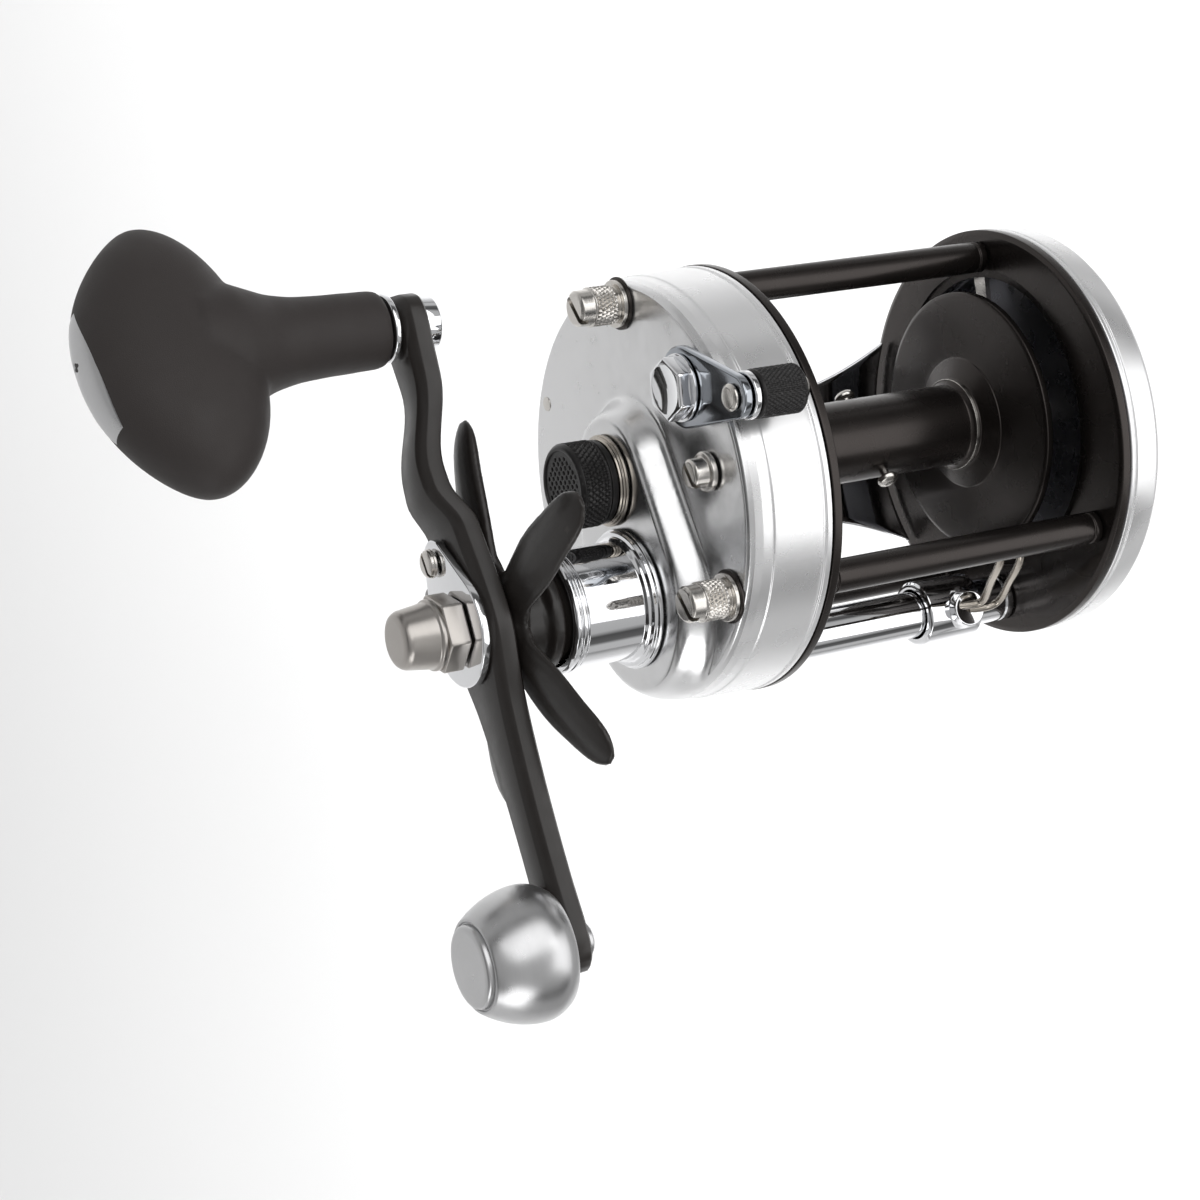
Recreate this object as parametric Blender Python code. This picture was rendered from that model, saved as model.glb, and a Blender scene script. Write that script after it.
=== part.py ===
"""Round level-wind trolling reel, right-hand handle, modelled as an assembly of separate pieces.

Lengths below are in millimetres and become metres in add_mesh. The helpers work in the reel's
own axes: X along the spool towards the handle, Y towards the rod tip, Z up, with zero at the
centre of the frame plates. FOOT_DROP then lifts everything so that the underside of the foot,
where the rod's reel seat clamps it, lies on world Z = 0.
"""
from math import acos, atan2, cos, hypot, pi, radians, sin, tau

import bmesh
import bpy
from mathutils import Matrix, Vector

MM = 0.001
GAP = 0.3                      # clearance left between touching pieces
FOOT_DROP = 39.0               # plate centre above the underside of the foot
FOOT_T = 1.8

# Frame
PLATE_R = 33.0
PLATE_T = 1.6
PLATE_X = 25.7                 # inner face of each frame plate
OPENING_R = 22.9               # round opening in each plate for the spool flange
PILLAR_R = 2.5
SPIGOT_R = 1.6
PILLARS = {"rear": (-28.5, 3.5), "top": (16.0, 23.6), "front": (22.0, -17.5)}

# Axes parallel to X, as (y, z)
SPOOL_AXIS = (-2.5, 0.0)
HANDLE_AXIS = (15.5, 1.5)
WORM_AXIS = (27.0, -3.0)
LEVER_AXIS = (-14.8, 22.7)
ROLLER_AXIS = (-12.5, 36.5)

# Right cover
COVER_X0 = PLATE_X + PLATE_T + GAP
FACE_X = 41.3                  # flat outer face
FACE_R = 31.9
BULGE_X = 45.8                 # top of the raised gear housing
COVER_T = 1.3
COVER_SCREW = (-2.3, 22.7)
BRIDGE_X = (33.2, 34.8)        # plate that carries the gears

# Left cover
LEFT_RIM_X = -33.9
LEFT_DOME_X = -37.0
LEFT_HEAD_X = -34.5            # seat of the left screws' sunk heads
CLICKER_AT = (-14.0, 0.0)

# Spool
FLANGE_R = 21.0
FLANGE_X = 21.2
ARBOR_R = 6.5
SHAFT_R = 1.6
LINE_PIN_TURN = radians(123)

# Gears: the main pair shares one tooth size, and the line-guide pair another
MAIN_TEETH, PINION_TEETH = 61, 15
GUIDE_TEETH, WORM_TEETH = 36, 14
SHAFT_GAP = hypot(HANDLE_AXIS[0] - SPOOL_AXIS[0], HANDLE_AXIS[1] - SPOOL_AXIS[1])
WORM_GAP = hypot(HANDLE_AXIS[0] - WORM_AXIS[0], HANDLE_AXIS[1] - WORM_AXIS[1])
MAIN_MODULE = 2 * SHAFT_GAP / (MAIN_TEETH + PINION_TEETH)
GUIDE_MODULE = 2 * WORM_GAP / (GUIDE_TEETH + WORM_TEETH)

# Handle: the arm lies along ARM_TILT in the YZ plane, knob at the far negative end
ARM_TILT = radians(16.5)
ARM_LEN = 48.0
ARM_X = 71.5
ARM_T = 3.8
ARM_BOW = 2.3                  # how far the arm bulges out on the knob's side
ARM_DROP = 3.7                 # how far it comes back in towards the knob
KNOB_S = -47.2
KNOB_AXIS = (HANDLE_AXIS[0] + KNOB_S * cos(ARM_TILT), HANDLE_AXIS[1] + KNOB_S * sin(ARM_TILT))
WEIGHT_AXIS = (HANDLE_AXIS[0] + ARM_LEN * cos(ARM_TILT), HANDLE_AXIS[1] + ARM_LEN * sin(ARM_TILT))
SHAFT_END_R = 3.0              # drive shaft where the arm and star sit on it
STAR_ANGLES = (195.5, 123.5, 50.5, -21.5, -93.5)
STAR_TIP_R = 31.0
STAR_ROOT_X = 68.0             # middle of each arm's thickness at the hub
KNOB_TURN = radians(31.0)      # the knob's long direction in the YZ plane
KNOB_BAR_X = 107.0
KNOB_HALF = 22.6               # half the bar's length
KNOB_SHIFT = 1.2               # bar's middle, off the spindle along the bar
CAP_SHIFT = 2.4                # end cap's middle, likewise

# Line guide
TUBE_R = 3.75
GUIDE_X = -14.4                # carriage as modelled, near the left end of its travel
WIRE_FEET = {"right": 1.15, "left": -1.15}
WIRE_R = 0.65

# (colour, metallic, roughness)
FINISHES = {
    "satin_aluminium": ((0.80, 0.80, 0.80), 1.0, 0.28),
    "polished_chrome": ((0.86, 0.87, 0.88), 1.0, 0.08),
    "black_anodised": ((0.022, 0.019, 0.018), 0.6, 0.35),
    "black_enamel": ((0.018, 0.017, 0.017), 0.2, 0.32),
    "soft_black": ((0.045, 0.042, 0.040), 0.0, 0.65),
    "nickel_steel": ((0.62, 0.60, 0.57), 1.0, 0.25),
    "brass": ((0.78, 0.60, 0.30), 1.0, 0.28),
    "drag_fibre": ((0.16, 0.13, 0.10), 0.0, 0.80),
    "white_nylon": ((0.80, 0.79, 0.74), 0.0, 0.45),
}

BODY_AXES = {
    "crank": (0.0,) + HANDLE_AXIS,
    "star": (0.0,) + HANDLE_AXIS,
    "knob": (ARM_X,) + KNOB_AXIS,
    "spool_body": (0.0,) + SPOOL_AXIS,
    "yoke": (0.0,) + SPOOL_AXIS,
    "pinion_body": (0.0,) + SPOOL_AXIS,
    "worm": (0.0,) + WORM_AXIS,
    "guide": (GUIDE_X,) + WORM_AXIS,
    "lever": (0.0,) + LEVER_AXIS,
    "cap": (0.0,) + SPOOL_AXIS,
    "clicker": (LEFT_DOME_X, -14.0, 0.0),
}


# ---------------------------------------------------------------- helpers

def clear_scene():
    for obj in list(bpy.data.objects):
        bpy.data.objects.remove(obj, do_unlink=True)


def make_materials():
    for name, (colour, metallic, roughness) in FINISHES.items():
        material = bpy.data.materials.new(name)
        material.use_nodes = True
        shader = material.node_tree.nodes["Principled BSDF"]
        shader.inputs["Base Color"].default_value = (*colour, 1.0)
        shader.inputs["Metallic"].default_value = metallic
        shader.inputs["Roughness"].default_value = roughness


def make_empties():
    for name, (x, y, z) in BODY_AXES.items():
        empty = bpy.data.objects.new("axis_" + name, None)
        empty.location = Vector((x, y, z + FOOT_DROP)) * MM
        bpy.context.scene.collection.objects.link(empty)


def add_object(name, data, at, finish, body=None):
    """Link an object whose own origin lies at `at`, hung from its body's empty if it moves."""
    obj = bpy.data.objects.new(name, data)
    bpy.context.scene.collection.objects.link(obj)
    place = Vector((at[0], at[1], at[2] + FOOT_DROP)) * MM
    if body:
        parent = bpy.data.objects["axis_" + body]
        obj.parent = parent
        place -= parent.location
    obj.location = place
    if finish:
        data.materials.append(bpy.data.materials[finish])
    return obj


def add_mesh(name, bm, at, finish, body=None, smooth=30.0):
    bmesh.ops.remove_doubles(bm, verts=bm.verts, dist=1e-5)
    bmesh.ops.recalc_face_normals(bm, faces=bm.faces)
    bmesh.ops.scale(bm, vec=(MM, MM, MM), verts=bm.verts)
    mesh = bpy.data.meshes.new(name)
    bm.to_mesh(mesh)
    bm.free()
    mesh.shade_smooth()
    mesh.set_sharp_from_angle(angle=radians(smooth))
    return add_object(name, mesh, at, finish, body)


def lathe_bmesh(profile, segments, axis="X"):
    """Spin closed-loop points (along, radius) once around the axis."""
    bm = bmesh.new()
    points = [bm.verts.new((along, radius, 0.0)) for along, radius in profile]
    edges = [bm.edges.new((points[i - 1], points[i])) for i in range(len(points))
             if profile[i - 1][1] or profile[i][1]]
    bmesh.ops.spin(bm, geom=points + edges, cent=(0, 0, 0), axis=(1, 0, 0), angle=tau,
                   steps=segments, use_merge=True)
    if axis == "Z":
        bmesh.ops.rotate(bm, verts=bm.verts, cent=(0, 0, 0), matrix=Matrix.Rotation(-pi / 2, 3, "Y"))
    return bm


def turned(name, profile, yz, finish, body=None, segments=32):
    """A round piece on an axis parallel to X; profile radii of zero close it on the axis."""
    return add_mesh(name, lathe_bmesh(profile, segments), (0.0, yz[0], yz[1]), finish, body)


def rod(x0, x1, r, bevel=0.0):
    """Profile of a plain cylinder, with bevelled ends if asked."""
    if not bevel:
        return [(x0, 0), (x0, r), (x1, r), (x1, 0)]
    return [(x0, 0), (x0, r - bevel), (x0 + bevel, r), (x1 - bevel, r), (x1, r - bevel), (x1, 0)]


def ring(x0, x1, inner, outer, bevel=0.0):
    """Profile of a tube or washer."""
    if not bevel:
        return [(x0, inner), (x0, outer), (x1, outer), (x1, inner)]
    return [(x0, inner), (x0, outer - bevel), (x0 + bevel, outer),
            (x1 - bevel, outer), (x1, outer - bevel), (x1, inner)]


def loft_bmesh(sections):
    """Join closed outlines of equal point count, given as 3D points, and cap both ends."""
    bm = bmesh.new()
    loops = [[bm.verts.new(point) for point in section] for section in sections]
    for lower, upper in zip(loops, loops[1:]):
        for i in range(len(lower)):
            j = (i + 1) % len(lower)
            bm.faces.new((lower[i], lower[j], upper[j], upper[i]))
    bm.faces.new(loops[0])
    bm.faces.new(loops[-1])
    return bm


def slab(name, outline, x0, x1, yz, finish, body=None, bevel=0.0):
    """An outline of (y, z) points about the axis yz, extruded along X with bevelled edges."""
    levels = [(x0, 0.0), (x1, 0.0)]
    if bevel:
        levels = [(x0, bevel), (x0 + bevel, 0.0), (x1 - bevel, 0.0), (x1, bevel)]
    sections = [[(x, *inset_point(outline, i, inset)) for i in range(len(outline))]
                for x, inset in levels]
    return add_mesh(name, loft_bmesh(sections), (0.0, yz[0], yz[1]), finish, body)


def inset_point(outline, i, inset):
    """The outline's point i moved inwards along the bisector of its two edges."""
    here = Vector(outline[i])
    before = (here - Vector(outline[i - 1])).normalized()
    after = (Vector(outline[(i + 1) % len(outline)]) - here).normalized()
    normal = Vector((-(before.y + after.y), before.x + after.x)).normalized()
    return tuple(here + normal * inset)


def circle_points(centre, radius, count, start=0.0, sweep=tau):
    """Points anticlockwise in the YZ plane; a full circle leaves out its repeated end."""
    steps = count if sweep >= tau else count - 1
    return [(centre[0] + radius * cos(start + sweep * i / steps),
             centre[1] + radius * sin(start + sweep * i / steps)) for i in range(count)]


def two_circle_outline(a, ra, b, rb, count):
    """The belt-shaped outline around two circles, anticlockwise, count points on each arc."""
    along = atan2(b[1] - a[1], b[0] - a[0])
    spread = acos((ra - rb) / hypot(b[0] - a[0], b[1] - a[1]))
    return (circle_points(a, ra, count, along + spread, tau - 2 * spread)
            + circle_points(b, rb, count, along - spread, 2 * spread))


def cutter(name, bm, at):
    obj = add_mesh(name, bm, at, None)
    obj.hide_render = True
    obj.display_type = "WIRE"
    return obj


def round_cutter(name, x0, x1, r, yz, segments=32):
    return cutter(name, lathe_bmesh(rod(x0, x1, r), segments), (0.0, yz[0], yz[1]))


def combine(obj, tools, operation):
    for tool in tools:
        modifier = obj.modifiers.new(operation.lower() + "_" + tool.name, "BOOLEAN")
        modifier.operation = operation
        modifier.object = tool
        modifier.solver = "EXACT"


def gear_outline(teeth, module, phase, fill=0.36, tip=0.8, root=1.2):
    """Trapezoid teeth whose width at the pitch circle is `fill` of the tooth spacing."""
    pitch_r = teeth * module / 2
    step = tau / teeth
    shape = ((-0.62 * fill, pitch_r - root * module), (-0.34 * fill, pitch_r + tip * module),
             (0.34 * fill, pitch_r + tip * module), (0.62 * fill, pitch_r - root * module))
    return [(radius * cos(phase + step * (i + part)), radius * sin(phase + step * (i + part)))
            for i in range(teeth) for part, radius in shape]


def gear(name, teeth, module, x0, x1, bore, yz, phase, finish, body):
    outline = gear_outline(teeth, module, phase)
    obj = slab(name, outline, x0, x1, yz, finish, body)
    combine(obj, [round_cutter("bore_" + name, x0 - 1, x1 + 4, bore, yz, 24)], "DIFFERENCE")
    return obj


def mesh_phases(from_axis, to_axis, teeth_to):
    """Phases that put a tooth of the first gear into a gap of the second on their centre line."""
    towards = atan2(to_axis[1] - from_axis[1], to_axis[0] - from_axis[0])
    return towards, towards + pi + pi / teeth_to


# ---------------------------------------------------------------- frame

def frame_plate(name, x0, x1, worm_hole):
    cutters = [round_cutter(name + "_opening", x0 - 1, x1 + 1, OPENING_R, SPOOL_AXIS, 32),
               round_cutter(name + "_worm_hole", x0 - 1, x1 + 1, worm_hole, WORM_AXIS, 12)]
    for pillar, yz in PILLARS.items():
        cutters.append(round_cutter(name + "_hole_" + pillar, x0 - 1, x1 + 1,
                                    SPIGOT_R + GAP, yz, 12))
    plate = turned(name, rod(x0, x1, PLATE_R), (0, 0), "black_anodised", segments=40)
    combine(plate, cutters, "DIFFERENCE")


def build_frame():
    frame_plate("frame_plate_right", PLATE_X, PLATE_X + PLATE_T, 2.2)
    frame_plate("frame_plate_left", -PLATE_X - PLATE_T, -PLATE_X, 2.2)
    inner = PLATE_X - GAP
    outer = PLATE_X + PLATE_T
    for name, yz in PILLARS.items():
        half = [(inner, PILLAR_R), (inner, SPIGOT_R), (outer, SPIGOT_R), (outer, 0.9),
                (inner - 4, 0.9), (inner - 4, 0)]
        profile = [(-x, r) for x, r in reversed(half)] + half
        turned("pillar_" + name, profile, yz, "black_anodised", segments=14)




def foot_half_width(x):
    """Half the saddle's size along Y at a place along X: waisted between the two plates."""
    return 10.6 + 6.2 * (abs(x) / 24.0) ** 2.2


def build_foot():
    """A waisted saddle that follows the plates' curve, on a base with two long tongues."""
    arc_r = PLATE_R - 1.4
    xs = [-24.9 + 49.8 * i / 12 for i in range(13)]
    count = 7
    bm = bmesh.new()
    grid = {}
    for i, x in enumerate(xs):
        half = foot_half_width(x)
        for j in range(count):
            y = half * (2 * j / (count - 1) - 1)
            for side, radius in enumerate((arc_r, arc_r - FOOT_T)):
                z = -(radius ** 2 - y ** 2) ** 0.5 - 0.9
                grid[i, j, side] = bm.verts.new((x, y, z))
    for i in range(len(xs) - 1):
        for j in range(count - 1):
            for side in (0, 1):
                bm.faces.new([grid[i, j, side], grid[i + 1, j, side],
                              grid[i + 1, j + 1, side], grid[i, j + 1, side]])
        for j in (0, count - 1):
            bm.faces.new([grid[i, j, 0], grid[i + 1, j, 0], grid[i + 1, j, 1], grid[i, j, 1]])
    for i in (0, len(xs) - 1):
        for j in range(count - 1):
            bm.faces.new([grid[i, j, 0], grid[i, j + 1, 0], grid[i, j + 1, 1], grid[i, j, 1]])
    foot = add_mesh("reel_foot", bm, (0, 0, 0), "polished_chrome")

    tongue_half, tongue_len = 8.5, 34.0
    outline = two_circle_outline((0, -tongue_len + tongue_half), tongue_half,
                                 (0, tongue_len - tongue_half), tongue_half, 9)
    base = [[(p[0], p[1], z) for p in outline] for z in (-39.0, -36.6)]
    pedestal = [[(p[0] * scale, p[1] * 0.36, z) for p in outline]
                for z, scale in ((-37.5, 0.94), (-31.2, 0.94))]
    combine(foot, [cutter("foot_base", loft_bmesh(base), (0, 0, 0)),
                   cutter("foot_pedestal", loft_bmesh(pedestal), (0, 0, 0))], "UNION")
    rivet_y = 13.2
    rivet_z = -(arc_r ** 2 - rivet_y ** 2) ** 0.5 - 0.9
    lean = atan2(rivet_y, -rivet_z)
    for side, x in (("right", 22.6), ("left", -22.6)):
        for end, sign in (("front", 1), ("rear", -1)):
            name = "foot_rivet_" + side + "_" + end
            bm = lathe_bmesh([(0.3, 0), (0.3, 1.5), (0.8, 1.4), (1.2, 0.8), (1.3, 0)], 14, "Z")
            bmesh.ops.rotate(bm, verts=bm.verts, cent=(0, 0, 0),
                             matrix=Matrix.Rotation(pi + sign * lean, 3, "X"))
            add_mesh(name, bm, (x, sign * rivet_y, rivet_z), "polished_chrome")


# ---------------------------------------------------------------- covers

def bulge_sections(shrink, x_low, x_top):
    """The raised gear housing: a belt around the spool and handle axes, rounded at its top."""
    round_over = 2.2
    levels = [(x_low, 0.0), (x_top - round_over, 0.6)]
    levels += [(x_top - round_over * (1 - sin(a)), 0.6 + round_over * (1 - cos(a)))
               for a in (pi / 4, pi / 2)]
    return [[(x, *p) for p in two_circle_outline(SPOOL_AXIS, 11.6 - shrink - inset,
                                                 HANDLE_AXIS, 16.6 - shrink - inset, 14)]
            for x, inset in levels]


def build_right_cover():
    hollow_r = 31.85
    profile = [(COVER_X0, hollow_r), (COVER_X0, 32.9), (FACE_X - 2.6, 32.5),
               (FACE_X - 0.8, FACE_R), (FACE_X, FACE_R - 0.8), (FACE_X, 0),
               (FACE_X - COVER_T, 0), (FACE_X - COVER_T, hollow_r - 2.0), (FACE_X - 3.4, hollow_r)]
    cover = turned("right_cover", profile, (0, 0), "satin_aluminium", segments=40)
    boss = turned_cutter("cap_boss", rod(BULGE_X - 1.0, 50.0, 5.2), SPOOL_AXIS)
    combine(cover, [cutter("bulge_outside", loft_bmesh(bulge_sections(0, FACE_X - 1, BULGE_X)),
                           (0, 0, 0)), boss], "UNION")
    holes = [cutter("bulge_inside", loft_bmesh(bulge_sections(COVER_T, FACE_X - 2,
                                                              BULGE_X - COVER_T)), (0, 0, 0)),
             round_cutter("bearing_seat", 40, 51, 4.3, SPOOL_AXIS, 24),
             round_cutter("drive_shaft_hole", 40, 51, 4.4, HANDLE_AXIS, 24),
             round_cutter("lever_pivot_hole", 38, 43, 1.7, LEVER_AXIS, 16),
             round_cutter("cover_screw_hole", 38, 43, 1.2, COVER_SCREW, 16)]
    for name, yz in PILLARS.items():
        holes.append(round_cutter("thumb_screw_hole_" + name, 38, 43, 1.5, yz, 16))
    combine(cover, holes, "DIFFERENCE")


def turned_cutter(name, profile, yz, segments=32):
    return cutter(name, lathe_bmesh(profile, segments), (0.0, yz[0], yz[1]))


def build_left_cover():
    """A shallow cup with a slightly domed end and a bearing boss on the spool's axis."""
    x0 = -COVER_X0
    outside = [(LEFT_DOME_X, 0), (LEFT_DOME_X + 0.3, 14), (LEFT_DOME_X + 1.3, 26),
               (LEFT_RIM_X - 0.2, 31.6), (LEFT_RIM_X + 0.8, 32.9), (x0, 33.0)]
    inside = [(x0, 31.8), (LEFT_RIM_X + 1.6, 31.8), (LEFT_RIM_X + 0.4, 29.6),
              (LEFT_DOME_X + 2.6, 25), (LEFT_DOME_X + 1.3, 0)]
    cover = turned("left_cover", outside + inside, (0, 0), "satin_aluminium", segments=40)
    combine(cover, [round_cutter("left_screw_hole_" + name, -38, -30, 0.9, yz, 12)
                    for name, yz in PILLARS.items()], "DIFFERENCE")
    combine(cover, [round_cutter("left_screw_seat_" + name, -38, LEFT_HEAD_X, 2.3, yz, 14)
                    for name, yz in PILLARS.items()], "DIFFERENCE")
    combine(cover, [round_cutter("clicker_hole", LEFT_DOME_X - 1, LEFT_DOME_X + 3, 1.6,
                                 CLICKER_AT, 16)], "DIFFERENCE")
    combine(cover, [turned_cutter("left_boss", rod(LEFT_DOME_X + 1.0, -29.6, 5.6), SPOOL_AXIS)],
            "UNION")
    combine(cover, [round_cutter("left_bearing_seat", LEFT_DOME_X + 2.6, -28, 4.3, SPOOL_AXIS)],
            "DIFFERENCE")
    for name, yz in PILLARS.items():
        profile = [(LEFT_HEAD_X - 1.0, 0), (LEFT_HEAD_X - 1.0, 1.6), (LEFT_HEAD_X - 0.7, 1.9),
                   (LEFT_HEAD_X - GAP, 1.9), (LEFT_HEAD_X - GAP, 0.5), (-24.0, 0.5), (-24.0, 0)]
        turned("left_screw_" + name, profile, yz, "nickel_steel", segments=14)




def build_screws():
    """Knurled slotted thumb screws on the pillar axes, and one small slotted screw."""
    for name, yz in PILLARS.items():
        profile = [(24.0, 0), (24.0, 0.6), (FACE_X + GAP, 0.6), (FACE_X + GAP, 3.6),
                   (FACE_X + 1.2, 3.6), (FACE_X + 1.2, 3.0), (FACE_X + 7.3, 3.0),
                   (FACE_X + 7.9, 2.4), (FACE_X + 7.9, 0)]
        screw = turned("thumb_screw_" + name, profile, yz, "nickel_steel", segments=18)
        combine(screw, [slot_cutter("slot_" + name, FACE_X + 7.9, 1.3, 8.0, 0.9, yz, 0.6)],
                "DIFFERENCE")
    profile = [(37.0, 0), (37.0, 0.9), (FACE_X + GAP, 0.9), (FACE_X + GAP, 3.0),
               (FACE_X + 1.0, 3.0), (FACE_X + 1.0, 2.2), (FACE_X + 3.2, 2.2),
               (FACE_X + 3.6, 1.8), (FACE_X + 3.6, 0)]
    screw = turned("cover_screw", profile, COVER_SCREW, "nickel_steel", segments=20)
    combine(screw, [slot_cutter("slot_cover", FACE_X + 3.6, 1.0, 6.0, 0.8, COVER_SCREW, 0.5)],
            "DIFFERENCE")


def slot_cutter(name, face_x, depth, length, width, yz, turn):
    bm = bmesh.new()
    bmesh.ops.create_cube(bm, size=1.0)
    bmesh.ops.scale(bm, vec=(2 * depth, length, width), verts=bm.verts)
    bmesh.ops.rotate(bm, verts=bm.verts, cent=(0, 0, 0), matrix=Matrix.Rotation(turn, 3, "X"))
    return cutter(name, bm, (face_x, yz[0], yz[1]))


# ---------------------------------------------------------------- right side works



def build_right_works():
    turned("bridge_plate", rod(*BRIDGE_X, 31.4), (0, 0), "nickel_steel", segments=28)
    bridge = bpy.data.objects["bridge_plate"]
    cuts = [round_cutter("bridge_shaft_hole", 30, 38, SHAFT_END_R + GAP, HANDLE_AXIS, 24),
            round_cutter("bridge_spool_hole", 30, 38, 3.0, SPOOL_AXIS, 20),
            round_cutter("bridge_window_rear", 30, 38, 9.0, (-18.0, -6.0), 24)]
    for name, yz in PILLARS.items():
        cuts.append(round_cutter("bridge_screw_hole_" + name, 30, 38, 1.2, yz, 12))
    combine(bridge, cuts, "DIFFERENCE")

    turned("spool_bearing_right", ring(46.4, 49.2, SHAFT_R + GAP, 4.0, 0.2), SPOOL_AXIS,
           "nickel_steel", segments=24)
    turned("spool_bearing_left", ring(-34.0, -31.2, SHAFT_R + GAP, 4.0, 0.2), SPOOL_AXIS,
           "nickel_steel", segments=24)

    sleeve = [(46.1, 8.1), (46.1, 10.7), (47.5, 10.2), (47.5, 9.0), (57.8, 9.0),
              (58.0, 9.3), (59.7, 9.3), (60.0, 8.9), (60.0, 8.1)]
    turned("gear_sleeve", sleeve, HANDLE_AXIS, "polished_chrome", segments=28)
    turned("one_way_bearing", ring(46.4, 54.0, 4.6, 7.8, 0.3), HANDLE_AXIS, "nickel_steel",
           segments=20)
    turned("cap_ring", [(46.1, 5.5), (46.1, 7.0), (46.8, 7.0), (47.2, 6.8), (47.2, 5.5)],
           SPOOL_AXIS, "brass", segments=24)
    cap = [(53.6, 0), (53.6, 6.0), (53.0, 6.6), (47.5, 6.6), (47.5, 5.6), (52.2, 5.6), (52.2, 0)]
    turned("tension_cap", cap, SPOOL_AXIS, "black_anodised", "cap", segments=24)


def build_crank():
    to_pinion, pinion_phase = mesh_phases(HANDLE_AXIS, SPOOL_AXIS, PINION_TEETH)
    to_worm, worm_phase = mesh_phases(HANDLE_AXIS, WORM_AXIS, WORM_TEETH)
    shaft = [(28.2, 0), (28.2, SHAFT_END_R), (35.1, SHAFT_END_R), (35.1, 4.4), (35.7, 4.4),
             (35.7, 3.9), (54.5, 3.9), (54.5, SHAFT_END_R), (78.0, SHAFT_END_R), (78.0, 0)]
    turned("drive_shaft", shaft, HANDLE_AXIS, "nickel_steel", "crank", segments=20)
    gear("level_wind_gear", GUIDE_TEETH, GUIDE_MODULE, 29.4, 31.4, SHAFT_END_R + GAP,
         HANDLE_AXIS, to_worm, "white_nylon", "crank")
    gear("main_gear", MAIN_TEETH, MAIN_MODULE, 36.0, 38.3, 3.9 + GAP, HANDLE_AXIS,
         to_pinion, "brass", "crank")
    turned("drag_washer_inner", ring(38.6, 39.6, 4.2, 10.4), HANDLE_AXIS, "drag_fibre",
           "crank", segments=24)
    turned("drag_washer_outer", ring(39.9, 40.9, 4.2, 10.4), HANDLE_AXIS, "nickel_steel",
           "crank", segments=24)
    pinion = gear("pinion", PINION_TEETH, MAIN_MODULE, 35.4, 39.6, SHAFT_R + GAP, SPOOL_AXIS,
                  pinion_phase, "brass", "pinion_body")
    collar = [(39.4, 0), (39.4, 3.0), (40.8, 3.0), (40.8, 2.4), (42.6, 2.4), (42.6, 3.4),
              (43.4, 3.4), (43.4, 0)]
    combine_first(pinion, turned_cutter("pinion_collar", collar, SPOOL_AXIS, 20))
    gear("worm_gear", WORM_TEETH, GUIDE_MODULE, 29.4, 31.4, 1.5, WORM_AXIS, worm_phase,
         "white_nylon", "worm")


def combine_first(obj, tool):
    """Join a tool before the cuts that the object already has."""
    combine(obj, [tool], "UNION")
    obj.modifiers.move(len(obj.modifiers) - 1, 0)


def build_yoke():
    """A flat fork that straddles the pinion's groove and slides outwards with it."""
    fork_x = (41.0, 42.4)
    outline = [(-7.4, -5.6), (6.6, -5.6), (6.6, 5.6), (-7.4, 5.6)]
    yoke = slab("clutch_yoke", outline, *fork_x, SPOOL_AXIS, "brass", "yoke", 0.2)
    bm = bmesh.new()
    bmesh.ops.create_cube(bm, size=1.0)
    bmesh.ops.scale(bm, vec=(6.0, 14.0, 5.6), verts=bm.verts)
    slot = cutter("yoke_slot", bm, (fork_x[0] + 0.7, SPOOL_AXIS[0] + 4.2, SPOOL_AXIS[1]))
    combine(yoke, [slot], "DIFFERENCE")


# ---------------------------------------------------------------- spool

def build_spool():
    edge_t = 1.3
    half = [(18.0, ARBOR_R), (18.0, 7.2), (19.2, 7.2), (FLANGE_X, FLANGE_R),
            (FLANGE_X + edge_t, FLANGE_R), (FLANGE_X, 8.0), (24.0, 5.0), (24.0, SHAFT_R + GAP)]
    profile = [(-x, r) for x, r in reversed(half)] + half
    turned("spool", profile, SPOOL_AXIS, "black_anodised", "spool_body", segments=28)
    turned("spool_shaft", rod(-34.0, 51.6, SHAFT_R, 0.3), SPOOL_AXIS, "nickel_steel",
           "spool_body", segments=16)
    for name, sign, x in (("a", -1, -1.5), ("b", 1, -1.5)):
        bm = lathe_bmesh([(ARBOR_R + GAP, 0), (ARBOR_R + GAP, 0.7), (8.0, 0.7), (8.0, 1.7),
                          (8.6, 1.6), (9.0, 0.8), (9.0, 0)], 12, "Z")
        bmesh.ops.rotate(bm, verts=bm.verts, cent=(0, 0, 0),
                         matrix=Matrix.Rotation(LINE_PIN_TURN + pi / 2 * (1 - sign), 3, "X"))
        add_mesh("line_pin_" + name, bm, (x, *SPOOL_AXIS), "nickel_steel", "spool_body")




# ---------------------------------------------------------------- line guide

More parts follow.
